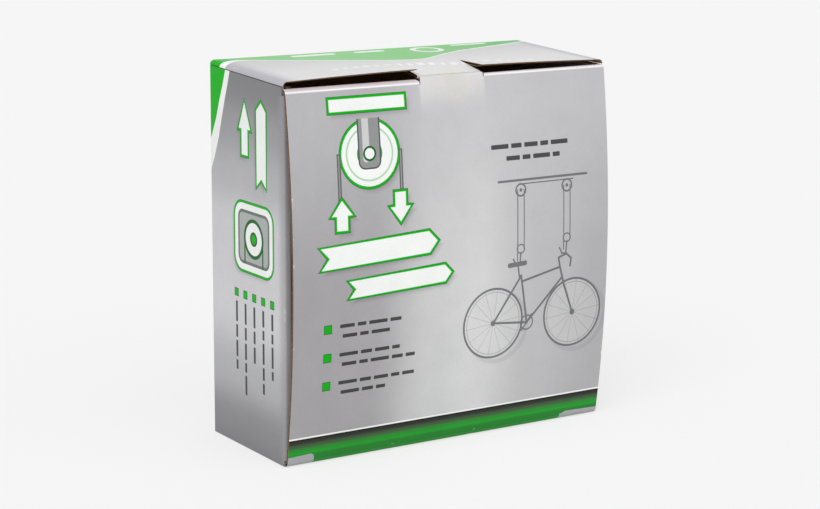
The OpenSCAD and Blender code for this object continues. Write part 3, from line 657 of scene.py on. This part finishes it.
def lid_inks():
    art = []
    # The glue mark runs on below the tongue
    for x, z, w, h in ((3, 241, 15, 12), (5, 236, 8, 12), (-2, 243, 7, 5)):
        art.append((pill(x, z, w, h, 3), paint("#c9c3a6", 0.22)))
    # Top left: a pulley under its ceiling plate, one rope end going up and the other going down
    x, z, rope_out, rope_l = -66, 201, 23.2, 29
    metal, rope = paint("#8f9190"), paint("#5f6160")
    art += badge_ring(x, z, 21, 9.5)
    for side in (-1, 1):
        line = [(x + side * rope_out, z), (x + side * rope_out, z - rope_l)]
        art += stroke(line, 2.8, rope) + stroke(line, 1.0, metal)
    art += circle_line(x, z, 17.2, 1.2, paint(PALE_LEAF))
    art.append((pill(x, z + 10, 17, 40, 5), paint(SHADE)))
    art.append((pill(x, z + 10, 15, 38, 4), metal))
    art.append((pill(x - 2.5, z + 11, 5, 33, 2.5), paint(WHITE, 0.35)))
    art += circle_line(x, z, 4.2, 1.4, paint(DEEP), paint(WHITE))
    art += badge([(x - 28, z + 28), (x + 28, z + 28), (x + 28, z + 35.5), (x - 28, z + 35.5)])
    art += badge(arrow(x - 22, z - 38, 15, 19, 1)) + badge(arrow(x + 22, z - 36, 15, 19, -1))
    # Middle left: two banners
    art += badge(ribbon(-60, 138, 88, 14, 0.045)) + badge(ribbon(-44, 116, 78, 11, 0.045))
    # Lower left: ticks with their lines
    for i, (l1, l2) in enumerate(((52, 40), (46, 56), (58, 34))):
        z = 90 - 19 * i
        art += tick_square(-99, z, 5.0)
        art += copy_line(-90, z + 1.2, l1, 2.4) + copy_line(-88, z - 5.4, l2, 2.4)
    # Right: the drawing
    art += hung_bicycle(30, 78, 66)
    art += copy_line(28, 196, 66, 3.0) + copy_line(40, 188, 44, 3.0)
    low, line, dark = (lid_s(z) for z in (BAND_TOP, LINE_Z, LINE_Z - BAND_DARK))
    below = [(lid_strip(-OVERRUN, line), band), (lid_strip(line, low), paint(WHITE)),
             (lid_strip(dark, line), paint("#17140f"))]
    # The band leaves both ends of the strip along the hinge fold bare
    left = ((-130, 1.2), (-107.5, 0), (-105.6, 1.2))
    right = ((130, 2.9), (98, 2), (96, 2.5))
    for (x_end, x_low), stops in (((-130, -105), left), ((130, 93), right)):
        edge = [(lid_s(FOOT_Z - down), x) for x, down in stops]
        below.append(([(-OVERRUN, x_end), *edge, (-OVERRUN, x_low)], paint(BARE_GREY)))
    return below + [([(lid_s(z), x) for x, z in loop], colour) for loop, colour in art]


def lid_wear(s, x):
    """Where the print has cracked: along the top fold, the hinge fold and the side edges."""
    fold = 0.7 * bell(s - ARC_S - 1.6, 0.9) if abs(x) > TAB_HALF_W else 0
    return max(fold, 0.5 * bell(s, 1.0), 0.6 * bell(abs(x) - LID_HALF_W, 1.2))


def lid_outline():
    far, fold_s = ARC_S + FOLD_S, ARC_S + LID_R * (math.pi / 2 - LEAN)
    tab = ARC_S + TAB_S
    nick = 0.8
    half = [(0, LID_HALF_W), (fold_s - nick, LID_HALF_W), (fold_s, LID_HALF_W - nick), (fold_s, FLAP_OUT),
            (far, FLAP_OUT), (far, FLAP_IN), (ARC_S + 2.5, TAB_HALF_W + 0.7), (ARC_S + 0.5, TAB_HALF_W + 0.6),
            (ARC_S + 0.3, TAB_HALF_W), (tab - nick, TAB_HALF_W), (tab, TAB_HALF_W - nick)]
    return half + [(s, -x) for s, x in reversed(half)]


def top_base(p, q):
    """Pale grey, a little darker to the back; darker to the sides as painted shade on the rounded side folds.
    """
    grey = mix(rgb("#dcdcdc"), rgb("#c9c9cb"), ease((q - 5) / 90))
    # Painted shade on the rounded side folds
    return mix(grey, rgb("#b4b4ba"), ease((abs(p) - 112) / 10))


# Where the green area of the top starts, from the left side fold to the right one
SWOOSH = ((-127.5, 77), (-123, 75.9), (-119, 79.8), (-115.5, 83), (-109, 86), (-102, 85.2), (-84, 75.6),
          (-60, 63.6), (-37, 52), (-18, 43), (-4, 39), (6, 39.5), (14, 43.5), (30, 54), (52, 66), (84, 77),
          (118, 87.5), (127.5, 90))


def top_green(p, q):
    """Full green on the left fold, washed out over the flat and fuller again at the right."""
    return paint(between(TOP_GREENS, p))


def top_inks():
    art = [([*SWOOSH, (128, 103), (-128, 103)], top_green)]
    line = [(x, y + 1.7 + 6.1 * ease((-102 - x) / 24)) for x, y in SWOOSH]
    art.append(([*SWOOSH, *reversed(line)], paint("#f4f5f3")))
    pale = paint(WHITE, 0.9)
    for cx, w in ((-52, 34), (-8, 24)):
        art.append((pill(cx, 88, w, 6.5, 3.2), pale))
    art += circle_line(34, 80, 10, 4.0, pale)
    art.append((pill(76, 92, 30, 4.5, 2.2), pale))
    # An old glue mark on the tongue
    for x, y, w, h in ((2, 3.5, 18, 6), (5, 6, 10, 9), (9, 2, 9, 3)):
        art.append((pill(x, y, w, h, 2.5), paint("#ddd5b4", 0.3)))
    # A row of blind-stamped ticks, each pale tick over an offset grey copy that is its painted shadow
    lengths, tall, pitch = (4.6, 3.2, 5.4), 5.0, 8
    for i in range(19):
        x, y, length = pitch * (i - 9), 17 + 9 * math.sin(1.1 + i * 0.16), lengths[i % 3]
        # Painted shadow of the tick's relief
        art.append((pill(x + 0.3, y - 0.5, length, tall, 0.8), paint("#b9b9bb", 0.7)))
        art.append((pill(x, y, length, tall, 0.8), paint(WHITE, 0.8)))
    return art


def top_wear(p, q):
    """Cracked at the tongue's fold, the side folds, the front edge and the fold at the back."""
    tongue = bell(q - TONGUE_L, 1.2) if abs(p) < TAB_HALF_W + 6 else 0
    side = 0.55 * bell(abs(p) - HALF_W + FOLD_R - 2, 2.0)
    return max(tongue, side, 0.8 * bell(q, 0.9), 0.4 * bell(q - SLOPE_D - 2, 2.0))


def top_outline():
    far_p, far_q = HALF_W - FOLD_R + SIDE_FOLD, SLOPE_D + SIDE_FOLD
    out = TAB_HALF_W + CUT_W
    loop = [(-far_p, 0), (-out, 0), (-out, TONGUE_L), (-TAB_HALF_W, TONGUE_L), (-TAB_HALF_W, 0)]
    return loop + [(TAB_HALF_W, 0), (TAB_HALF_W, TONGUE_L), (out, TONGUE_L), (out, 0), (far_p, 0),
                   (far_p, far_q), (-far_p, far_q)]


def side_y(s):
    return place_side(s, 0, 0)[1]


def side_base(s, z):
    """Silver grey that darkens to the top and the bottom; the rolled front is painted darker as shade."""
    grey = between(SIDE_TONES, z)
    if s <= SIDE_AT[1]:
        return grey
    # The rolled front lies in the lid's shadow: its grey is mixed darker as painted shade
    return mix(grey, rgb("#949294"), 0.6) if s < SIDE_AT[4] else rgb("#b9b9bb")


def side_inks():
    art = []
    # The green corner with its white stripe
    wedge = [(75.5, 256), (76.7, 249), (80.8, 238.5), (85.2, 228.7), (90.2, 216), (97.3, 202.6), (110, 184)]
    outer = [(104, 172), (98.4, 180.3), (92.6, 190.5), (86.6, 204), (82.4, 216.5), (77.9, 229.6),
             (73.6, 240.5), (70.4, 249.4), (69, 256)]
    art += [(wedge + outer, paint(WHITE)), (wedge + [(110, 256)], paint(LEAF))]
    # An upright banner with an arrow, a plate with a pulley, and ticks with upright lines
    art += badge(ribbon(29, 206, 54, 12, math.pi / 2)) + badge(arrow(51, 214, 15, 34, 1))
    y, z, rope_out, rope_l = 40, 143, 12, 17
    art += badge(pill(y, z, 50, 44, 9))
    art += [(pill(y, z, 42, 36, 6), paint("#6d7370")), (pill(y, z, 38, 32, 4), paint("#a9adab"))]
    art += circle_line(y, z, rope_out, 2.4, paint(DEEP), paint(WHITE))
    art += circle_line(y, z, 4, 1.6, paint(DEEP), paint(LEAF))
    for at in (y + rope_out, y - rope_out):
        art += stroke([(at, z), (at, z - rope_l)], 1.6, paint(DEEP))
    for i, length in enumerate((44, 56, 38, 62, 50)):
        y = 16 + 12 * i
        art += tick_square(y, 104, 4.6) + copy_line(y, 98, length, 2.6, upright=True)
    return [([(SIDE_AT[1] + ROLL_R - y, z) for y, z in loop], colour) for loop, colour in art]


def side_wear(s, z):
    """Cracked at the front and the back fold and along the bottom."""
    return max(0.5 * bell(s - SIDE_AT[1] - 1.5, 1.3), 0.35 * bell(s - SIDE_AT[0], 2.0), 0.5 * bell(z, 1.2))


def side_outline():
    """From the back fold over the top, where the rolled front is cut low for the lid's top fold, down the
    inner panel's edge with its lock tabs, and back along the bottom."""
    cut_in = CORNER_CUT_Y - ROLL_R
    first, second = SIDE_AT[1] - cut_in, SIDE_AT[4] + cut_in
    loop = [(s, side_top(side_y(s))) for s in [0, *steps(SIDE_AT[0], first, 8)]]
    loop += [(first, CORNER_CUT_Z), (second, CORNER_CUT_Z)]
    loop += [(s, side_top(side_y(s))) for s in steps(second, SIDE_AT[5], 8)]
    end, far = SIDE_AT[5], SIDE_AT[5] + BOARD + PLAY
    for share in reversed(LOCK_SHARES):
        top, low = HEIGHT * share + LOCK_HALF, HEIGHT * share - LOCK_HALF
        loop += [(end, top), (far, top), (far, low), (end, low)]
    hinge_cut = HINGE_Y + PLAY - ROLL_R
    notch, inner, fold, foot = end - 1.1, BOARD + PLAY, FOLD_R + PLAY, LID_R + PLAY
    loop += [(end, fold), (notch, fold), (notch, inner), (SIDE_AT[4] + hinge_cut + 0.3, inner),
             (SIDE_AT[4], foot)]
    return loop + [(SIDE_AT[1] - hinge_cut, foot), (SIDE_AT[1] - hinge_cut, 0), (0, 0)]


def bottom_base(s, x):
    """The hinge fold is green darkened with painted shade, with bare grey ends; the bottom itself is plain
    silver grey.
    """
    return rgb("#a9a9ac") if s > BOTTOM_AT[0] + 2 else shaded_foot_green(LID_R - s)


def bottom_inks():
    far = 8
    left = [(-OVERRUN, -130), (far, -130), (far, -106), (-OVERRUN, -105)]
    right = [(-OVERRUN, 130), (far, 130), (far, 91), (-OVERRUN, 93)]
    return [(loop, paint(BARE_GREY)) for loop in (left, right)]


def bottom_wear(s, x):
    return max(0.7 * bell(s - 4.2, 1.2), 0.4 * bell(s - 0.2, 0.6))


def bottom_outline():
    a, b, c = BOTTOM_AT
    w1, w2, w3 = LID_HALF_W, HALF_W - BOARD - PLAY, HALF_W - FOLD_R - PLAY
    half = [(0, w1), (a, w1), (a, w2), (b, w2), (b, w3), (c, w3)]
    return half + [(s, -x) for s, x in reversed(half)]


def back_base(z, x):
    """Silver grey, darker to both ends."""
    return mix(rgb("#aeaeb1"), rgb("#c9c9cb"), ease(1 - abs(z - 120) / 120))


def back_inks():
    """The green of the top comes down over the back to a slanting white line."""
    low, high, line, far = 190, 222, 3, 256
    white = [(low, -HALF_W), (high, HALF_W), (high + line, HALF_W), (low + line, -HALF_W)]
    green = [(low + line, -HALF_W), (high + line, HALF_W), (far, HALF_W), (far, -HALF_W)]
    return [(green, paint(LEAF)), (white, paint(WHITE))]


def back_slots():
    out = []
    half, w = LOCK_HALF + 2 * PLAY, BOARD / 2 + PLAY
    for side in (-1, 1):
        for share in LOCK_SHARES:
            x, z = side * (HALF_W - SIDE_T + BOARD / 2), HEIGHT * share
            out.append([(z - half, x - w), (z + half, x - w), (z + half, x + w), (z - half, x + w)])
    return out


# Materials


def noise(tree, scale, detail, roughness=0.5):
    """Noise over the object's own coordinates."""
    place = add(tree, "ShaderNodeTexCoord").outputs["Object"]
    return add(tree, "ShaderNodeTexNoise", {"Vector": place, "Scale": scale, "Detail": detail,
                                            "Roughness": roughness}).outputs[0]


def spread(tree, value, low, high, start=0.3, end=0.7):
    """A noise's middle range, brought between two limits."""
    return add(tree, "ShaderNodeMapRange", {"Value": value, "From Min": start, "From Max": end,
                                            "To Min": low, "To Max": high}).outputs[0]


def maths(tree, operation, *values):
    return add(tree, "ShaderNodeMath", dict(enumerate(values)), operation=operation).outputs[0]


def blend(tree, share, a, b):
    node = add(tree, "ShaderNodeMix", {"Factor": share, "A": a, "B": b}, data_type="RGBA")
    return node.outputs["Result"]


def bump(tree, height, strength, distance):
    return add(tree, "ShaderNodeBump", {"Strength": strength, "Distance": distance,
                                        "Height": height}).outputs[0]


def printed_board():
    """Corrugated board with a clay-coated liner, printed in silver grey and water varnished: a soft sheen,
    a faint waviness, and pale cracks of bare paper where it is folded."""
    mat, tree, body = material("printed_board", {"Specular IOR Level": 0.14})
    ink = add(tree, "ShaderNodeAttribute", attribute_name="ink")
    wear = add(tree, "ShaderNodeAttribute", attribute_name="wear")
    # Silver ink lies a little unevenly on the paper
    cloud = noise(tree, 38.0, 5.0, 0.6)
    fine = spread(tree, noise(tree, 900.0, 2.0), 0.975, 1.02)
    level = maths(tree, "MULTIPLY", spread(tree, cloud, 0.965, 1.03), fine)
    toned = add(tree, "ShaderNodeVectorMath", {0: ink.outputs["Color"], "Scale": level}, operation="SCALE")
    # Cracks: noise that breaks through only where the board is folded
    both = maths(tree, "ADD", noise(tree, 420.0, 4.0, 0.7), noise(tree, 60.0, 2.0))
    push = maths(tree, "MULTIPLY_ADD", wear.outputs["Fac"], 0.45, both)
    torn = spread(tree, push, 0.0, 0.85, 1.42, 1.56)
    # The board waves a little across its width, about 39 mm from crest to crest
    place = add(tree, "ShaderNodeTexCoord").outputs["Object"]
    wave = add(tree, "ShaderNodeTexWave", {"Vector": place, "Scale": 25.0 / math.pi, "Distortion": 0.4,
                                           "Detail": 1.0}, wave_type="BANDS", bands_direction="X")
    height = maths(tree, "MULTIPLY_ADD", wave.outputs["Fac"], 0.35, cloud)
    connect(tree, body, {"Base Color": blend(tree, torn, toned.outputs[0], linear("#dcd3cc")),
                         "Roughness": spread(tree, cloud, 0.36, 0.5),
                         "Normal": bump(tree, height, 0.35, 0.0004)})
    return mat


def kraft(name, hex_light, hex_dark, scale=160.0):
    """Bare kraft liner: brown fibres, quite matt."""
    mat, tree, body = material(name, {"Roughness": 0.85, "Specular IOR Level": 0.2})
    both = maths(tree, "ADD", noise(tree, scale, 8.0, 0.75), noise(tree, scale * 9, 2.0))
    part = spread(tree, both, 0.0, 1.0, 0.75, 1.25)
    connect(tree, body, {"Base Color": blend(tree, part, linear(hex_dark), linear(hex_light)),
                         "Normal": bump(tree, both, 0.4, 0.0002)})
    return mat


def powder_coat(name, hex_colour):
    """Black polyester powder on steel: fine orange peel, half gloss."""
    mat, tree, body = material(name, {"Base Color": linear(hex_colour)})
    connect(tree, body, {"Roughness": spread(tree, noise(tree, 60.0, 5.0), 0.34, 0.52),
                         "Normal": bump(tree, noise(tree, 900.0, 3.0), 0.35, 0.0002)})
    return mat


def zinc_plate():
    """Bright zinc plate with a clear passivation: a soft bluish metal, slightly clouded."""
    mat, tree, body = material("zinc_plate", {"Metallic": 1.0})
    cloud = noise(tree, 120.0, 6.0, 0.65)
    connect(tree, body, {"Base Color": blend(tree, cloud, linear("#a9b0b6"), linear("#dcdcd6")),
                         "Roughness": spread(tree, cloud, 0.22, 0.42)})
    return mat


def moulded(name, hex_colour, rough_low, rough_high, scale, subsurface=0.0):
    """Injection moulded or dipped plastic: even colour, slight flow marks in its gloss."""
    mat, tree, body = material(name, {"Subsurface Weight": subsurface, "Subsurface Scale": 0.001})
    flow = noise(tree, scale, 4.0)
    base = linear(hex_colour)
    dark = (*[c * 0.86 for c in base[:3]], 1)
    connect(tree, body, {"Base Color": blend(tree, flow, dark, base),
                         "Roughness": spread(tree, flow, rough_low, rough_high),
                         "Normal": bump(tree, flow, 0.12, 0.0003)})
    return mat


PRINTED = printed_board()
KRAFT = kraft("kraft_liner", "#b08a62", "#94704b")
RAW = kraft("raw_board_edge", "#a58c78", "#705847", 500.0)
# The fluted middle of a cut edge: near-black brown, painted shade in its hollows
HOLLOW_SHADE = kraft("fluted_hollow_shade", "#4a3222", "#2a1c13", 700.0)
BOARD_MATS = [PRINTED, KRAFT, RAW, HOLLOW_SHADE]
METAL_BLACK = powder_coat("black_powder_coat", "#26272a")
ZINC = zinc_plate()
NYLON = moulded("white_nylon", "#e6e3d9", 0.32, 0.46, 90.0, 0.08)
NYLON_BLACK = moulded("black_nylon", "#151617", 0.4, 0.55, 90.0)
DIPPED = moulded("dipped_vinyl", "#1f8a34", 0.22, 0.36, 50.0)

# The carton's panels
# Lines are the places where a sheet is cut so that it can bend, first across u and then across v.

flat_half = HALF_W - FOLD_R
far_p = flat_half + SIDE_FOLD
fold_lines = steps(0, SIDE_FOLD, 6)
past_crease, near_edge = 6.4, 122
lid_lines = ([*steps(0, ARC_S, 40), *steps(0, lid_s(LINE_Z), 10), *steps(ARC_S, ARC_S + past_crease, 16)],
             [*steps(-LID_HALF_W, LID_HALF_W, 24), -near_edge, near_edge, -TAB_HALF_W, TAB_HALF_W,
              -FLAP_IN, FLAP_IN])
lid = board("lid", lid_outline(), [], lid_lines, place_lid, lid_base, lid_inks(), lid_wear, BOARD_MATS,
            lambda s, x: s > ARC_S + TAB_S - 1 and abs(x) <= TAB_HALF_W)
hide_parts("lid_panel")
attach(lid, "lid")

crushed_edge, tongue_bend = [0.8, 1.6, 4.8], [23, 24.5, 27.5, 29]
top_lines = ([-far_p, *[-flat_half - v for v in fold_lines], *steps(-flat_half, flat_half, 40),
              *[flat_half + v for v in fold_lines], -TAB_HALF_W, TAB_HALF_W],
             [*crushed_edge, *steps(0, TONGUE_L, 8), *tongue_bend, *steps(TONGUE_L, SLOPE_D, 10),
              *[SLOPE_D + v for v in fold_lines]])
top = board("top", top_outline(), [], top_lines, place_top, top_base, top_inks(), top_wear, BOARD_MATS,
            lambda p, q: q < 1 and abs(p) <= TAB_HALF_W)
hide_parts("top_wall")
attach(top, "carton")

highest, worn_foot = 252, 1.2
side_lines = ([*fold_lines, *steps(SIDE_AT[0], SIDE_AT[1], 16), *steps(SIDE_AT[1], SIDE_AT[2], 6),
               *steps(SIDE_AT[2], SIDE_AT[3], 2), *steps(SIDE_AT[3], SIDE_AT[4], 6),
               *steps(SIDE_AT[4], SIDE_AT[5], 10)], [*steps(0, highest, 42), worn_foot])


def side_faced(s, z):
    """The corner cuts and the hinge cut of the rolled front show printed paper."""
    return abs(s - SIDE_AT[1]) < 3 and (z < LID_R + 1 or z > CORNER_CUT_Z - 1)


for name, place, node in (("left_side", place_side, "left_side_wall"),
                          ("right_side", place_right, "right_side_wall")):
    panel = board(name, side_outline(), [], side_lines, place, side_base, side_inks(), side_wear, BOARD_MATS,
                  side_faced)
    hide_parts(node)
    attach(panel, "carton")

bottom_lines = ([*steps(0, BOTTOM_AT[0], 24), BOTTOM_AT[0] + 2, *steps(BOTTOM_AT[0], BOTTOM_AT[1], 8),
                 *[BOTTOM_AT[1] + v for v in fold_lines]], steps(-LID_HALF_W, LID_HALF_W, 24))
bottom = board("bottom", bottom_outline(), [], bottom_lines, place_bottom, bottom_base, bottom_inks(),
               bottom_wear, BOARD_MATS)
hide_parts("bottom_wall")
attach(bottom, "carton")

back_half = HALF_W - FOLD_R - PLAY
back_low, back_high = FOLD_R + PLAY, HEIGHT - FOLD_R - PLAY
back_outline = [(back_low, -back_half), (back_high, -back_half), (back_high, back_half),
                (back_low, back_half)]
back_lines = (steps(back_low, back_high, 24), steps(-back_half, back_half, 12))
back = board("back", back_outline, back_slots(), back_lines, place_back, back_base, back_inks(),
             lambda z, x: 0.0, BOARD_MATS)
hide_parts("back_panel")
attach(back, "carton")

# The CAD nodes that stay, each with its finish
FINISHES = (("flap", KRAFT), ("bracket_screws", ZINC), ("cleat_screws", ZINC), ("bracket", METAL_BLACK),
            ("yoke", METAL_BLACK), ("sheave", NYLON), ("sleeves", DIPPED), ("cleat", NYLON_BLACK),
            ("cam", ZINC), ("hooks", ZINC), ("axle", ZINC), ("rivets", ZINC))
for name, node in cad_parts.items():
    for key, mat in FINISHES:
        if key in name:
            node.data.materials.clear()
            node.data.materials.append(mat)
            break

# Screw threads: a three-sided ridge wound along each shank, from behind its tip towards its head
# Each axis is the z and x of a screw's tip, in millimetres. The second hoist's are mirrored in x.

LAG_AXES = [(z, x) for z in (7.2, 17.4) for x in (-59.5, -14.8)]
PAN_AXES = [(6.4, x) for x in (-59.5, -24.7)]
LAG_Y, PAN_Y, TIP_L = -21.8, -11.65, 6.0
LAG_THREAD = {"Length": 0.024, "Radius": 0.0024, "Pitch": 0.0021, "Ridge": 0.0006}
PAN_THREAD = {"Length": 0.020, "Radius": 0.0019, "Pitch": 0.0016, "Ridge": 0.0005}


def thread_tree():
    tree = bpy.data.node_groups.new("thread", "GeometryNodeTree")
    tree.interface.new_socket("Points", in_out="INPUT", socket_type="NodeSocketGeometry")
    for name in ("Length", "Radius", "Pitch", "Ridge", "Turn"):
        tree.interface.new_socket(name, in_out="INPUT", socket_type="NodeSocketFloat")
    tree.interface.new_socket("Geometry", in_out="OUTPUT", socket_type="NodeSocketGeometry")
    given = add(tree, "NodeGroupInput").outputs
    turns = maths(tree, "DIVIDE", given["Length"], given["Pitch"])
    path = add(tree, "GeometryNodeCurveSpiral", {"Resolution": 20, "Rotations": turns,
                                                 "Start Radius": given["Radius"],
                                                 "End Radius": given["Radius"], "Height": given["Length"]})
    section = add(tree, "GeometryNodeCurvePrimitiveCircle", {"Resolution": 3, "Radius": given["Ridge"]})
    ridge = add(tree, "GeometryNodeCurveToMesh", {"Curve": path.outputs[0], "Fill Caps": True,
                                                  "Profile Curve": section.outputs[0]})
    way = add(tree, "ShaderNodeCombineXYZ", {"Y": given["Turn"]})
    laid = add(tree, "GeometryNodeInstanceOnPoints", {"Points": given["Points"], "Instance": ridge.outputs[0],
                                                      "Rotation": way.outputs[0]})
    real = add(tree, "GeometryNodeRealizeInstances", {"Geometry": laid.outputs[0]})
    done = add(tree, "GeometryNodeSetMaterial", {"Geometry": real.outputs[0], "Material": ZINC})
    add(tree, "NodeGroupOutput", {"Geometry": done.outputs[0]})
    return tree


def threads(name, tree, axes, y, side, sizes):
    """The threads of one hoist's screws as one plain mesh; side is +1 where the screws point to +x."""
    mesh = bpy.data.meshes.new(name)
    mesh.from_pydata([(side * (x - TIP_L) * MM, y * MM, z * MM) for z, x in axes], [], [])
    obj = bpy.data.objects.new(name, mesh)
    scene.collection.objects.link(obj)
    mod = obj.modifiers.new("thread", "NODES")
    mod.node_group = tree
    given = {**sizes, "Turn": -side * math.pi / 2}
    for item in tree.interface.items_tree:
        if item.name in given:
            mod[item.identifier] = given[item.name]
    made = bpy.data.meshes.new_from_object(obj.evaluated_get(bpy.context.evaluated_depsgraph_get()))
    obj.modifiers.remove(mod)
    obj.data = made
    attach(obj, "carton")


screw_thread = thread_tree()
for hoist, side in ((1, 1), (2, -1)):
    threads(f"lag_threads_{hoist}", screw_thread, LAG_AXES, LAG_Y, side, LAG_THREAD)
    threads(f"pan_threads_{hoist}", screw_thread, PAN_AXES, PAN_Y, side, PAN_THREAD)

# Pale floor and backdrop, soft studio light, and the camera at the photograph's angle
# The floor lies a little under the carton's bottom, so that the two never fall into one plane.

FLOOR_Z, FLOOR_HALF = -0.0003, 12
PAPER = linear("#f6f6f6")
floor_mesh = bpy.data.meshes.new("floor")
corners = [(x * FLOOR_HALF, y * FLOOR_HALF, FLOOR_Z) for x, y in ((-1, -1), (1, -1), (1, 1), (-1, 1))]
floor_mesh.from_pydata(corners, [], [(0, 1, 2, 3)])
floor = bpy.data.objects.new("floor", floor_mesh)
scene.collection.objects.link(floor)
sheet, tree, body = material("studio_paper", {"Base Color": PAPER, "Roughness": 1.0,
                                              "Specular IOR Level": 0.0})
# Seen by the camera, the paper is mostly its own plain tone, so that only a faint shadow lies on it
OWN_TONE = 0.72
glow = add(tree, "ShaderNodeEmission", {"Color": PAPER, "Strength": 1.0})
seen = maths(tree, "MULTIPLY", add(tree, "ShaderNodeLightPath").outputs["Is Camera Ray"], OWN_TONE)
both = add(tree, "ShaderNodeMixShader", {0: seen, 1: body.outputs[0], 2: glow.outputs[0]})
out = next(n for n in tree.nodes if n.type == "OUTPUT_MATERIAL")
tree.links.new(both.outputs[0], out.inputs["Surface"])
floor_mesh.materials.append(sheet)

WORLD_LIGHT, KEY_SUN, FILL_SUN = 0.58, 1.25, 0.6
world = bpy.data.worlds.new("studio")
scene.world = world
world.use_nodes = True
tree = world.node_tree
tree.nodes.clear()
rays = add(tree, "ShaderNodeLightPath").outputs
seen = maths(tree, "MAXIMUM", rays["Is Camera Ray"], rays["Is Glossy Ray"])
seen = maths(tree, "MAXIMUM", seen, rays["Is Transmission Ray"])
light = add(tree, "ShaderNodeBackground", {"Color": (1, 1, 1, 1), "Strength": WORLD_LIGHT})
shown = add(tree, "ShaderNodeBackground", {"Color": PAPER, "Strength": 1.0})
both = add(tree, "ShaderNodeMixShader", {0: seen, 1: light.outputs[0], 2: shown.outputs[0]})
add(tree, "ShaderNodeOutputWorld", {"Surface": both.outputs[0]})


def direction(azimuth, height):
    """The way from the object to what stands at an azimuth and a height, in radians."""
    level = math.cos(height)
    return Vector((math.sin(azimuth) * level, -math.cos(azimuth) * level, math.sin(height)))


def sun(name, azimuth, height, strength, spread_angle):
    lamp = bpy.data.lights.new(name, "SUN")
    lamp.energy = strength
    lamp.angle = math.radians(spread_angle)
    obj = bpy.data.objects.new(name, lamp)
    scene.collection.objects.link(obj)
    obj.rotation_mode = "QUATERNION"
    obj.rotation_quaternion = direction(math.radians(azimuth), math.radians(height)).to_track_quat("Z", "Y")


sun("key", -52, 48, KEY_SUN, 40)
sun("fill", 20, 40, FILL_SUN, 60)

AZIMUTH, ELEVATION, ROLL = math.radians(-32.71), math.radians(11.72), math.radians(0.30)
DISTANCE, TARGET = 1.4718, Vector((0.0017, 0.0055, 0.1178))
camera = bpy.data.cameras.new("camera")
camera.lens, camera.sensor_width, camera.sensor_fit = 94.43, 36, "HORIZONTAL"
camera_obj = bpy.data.objects.new("camera", camera)
scene.collection.objects.link(camera_obj)
back_way = direction(AZIMUTH, ELEVATION)
right_way = Vector((math.cos(AZIMUTH), math.sin(AZIMUTH), 0))
up_way = back_way.cross(right_way)
turned_right = right_way * math.cos(ROLL) + up_way * math.sin(ROLL)
turned_up = up_way * math.cos(ROLL) - right_way * math.sin(ROLL)
at = Matrix((turned_right, turned_up, back_way)).transposed().to_4x4()
at.translation = TARGET + back_way * DISTANCE
camera_obj.matrix_world = at
scene.camera = camera_obj
scene.view_settings.view_transform = "Standard"
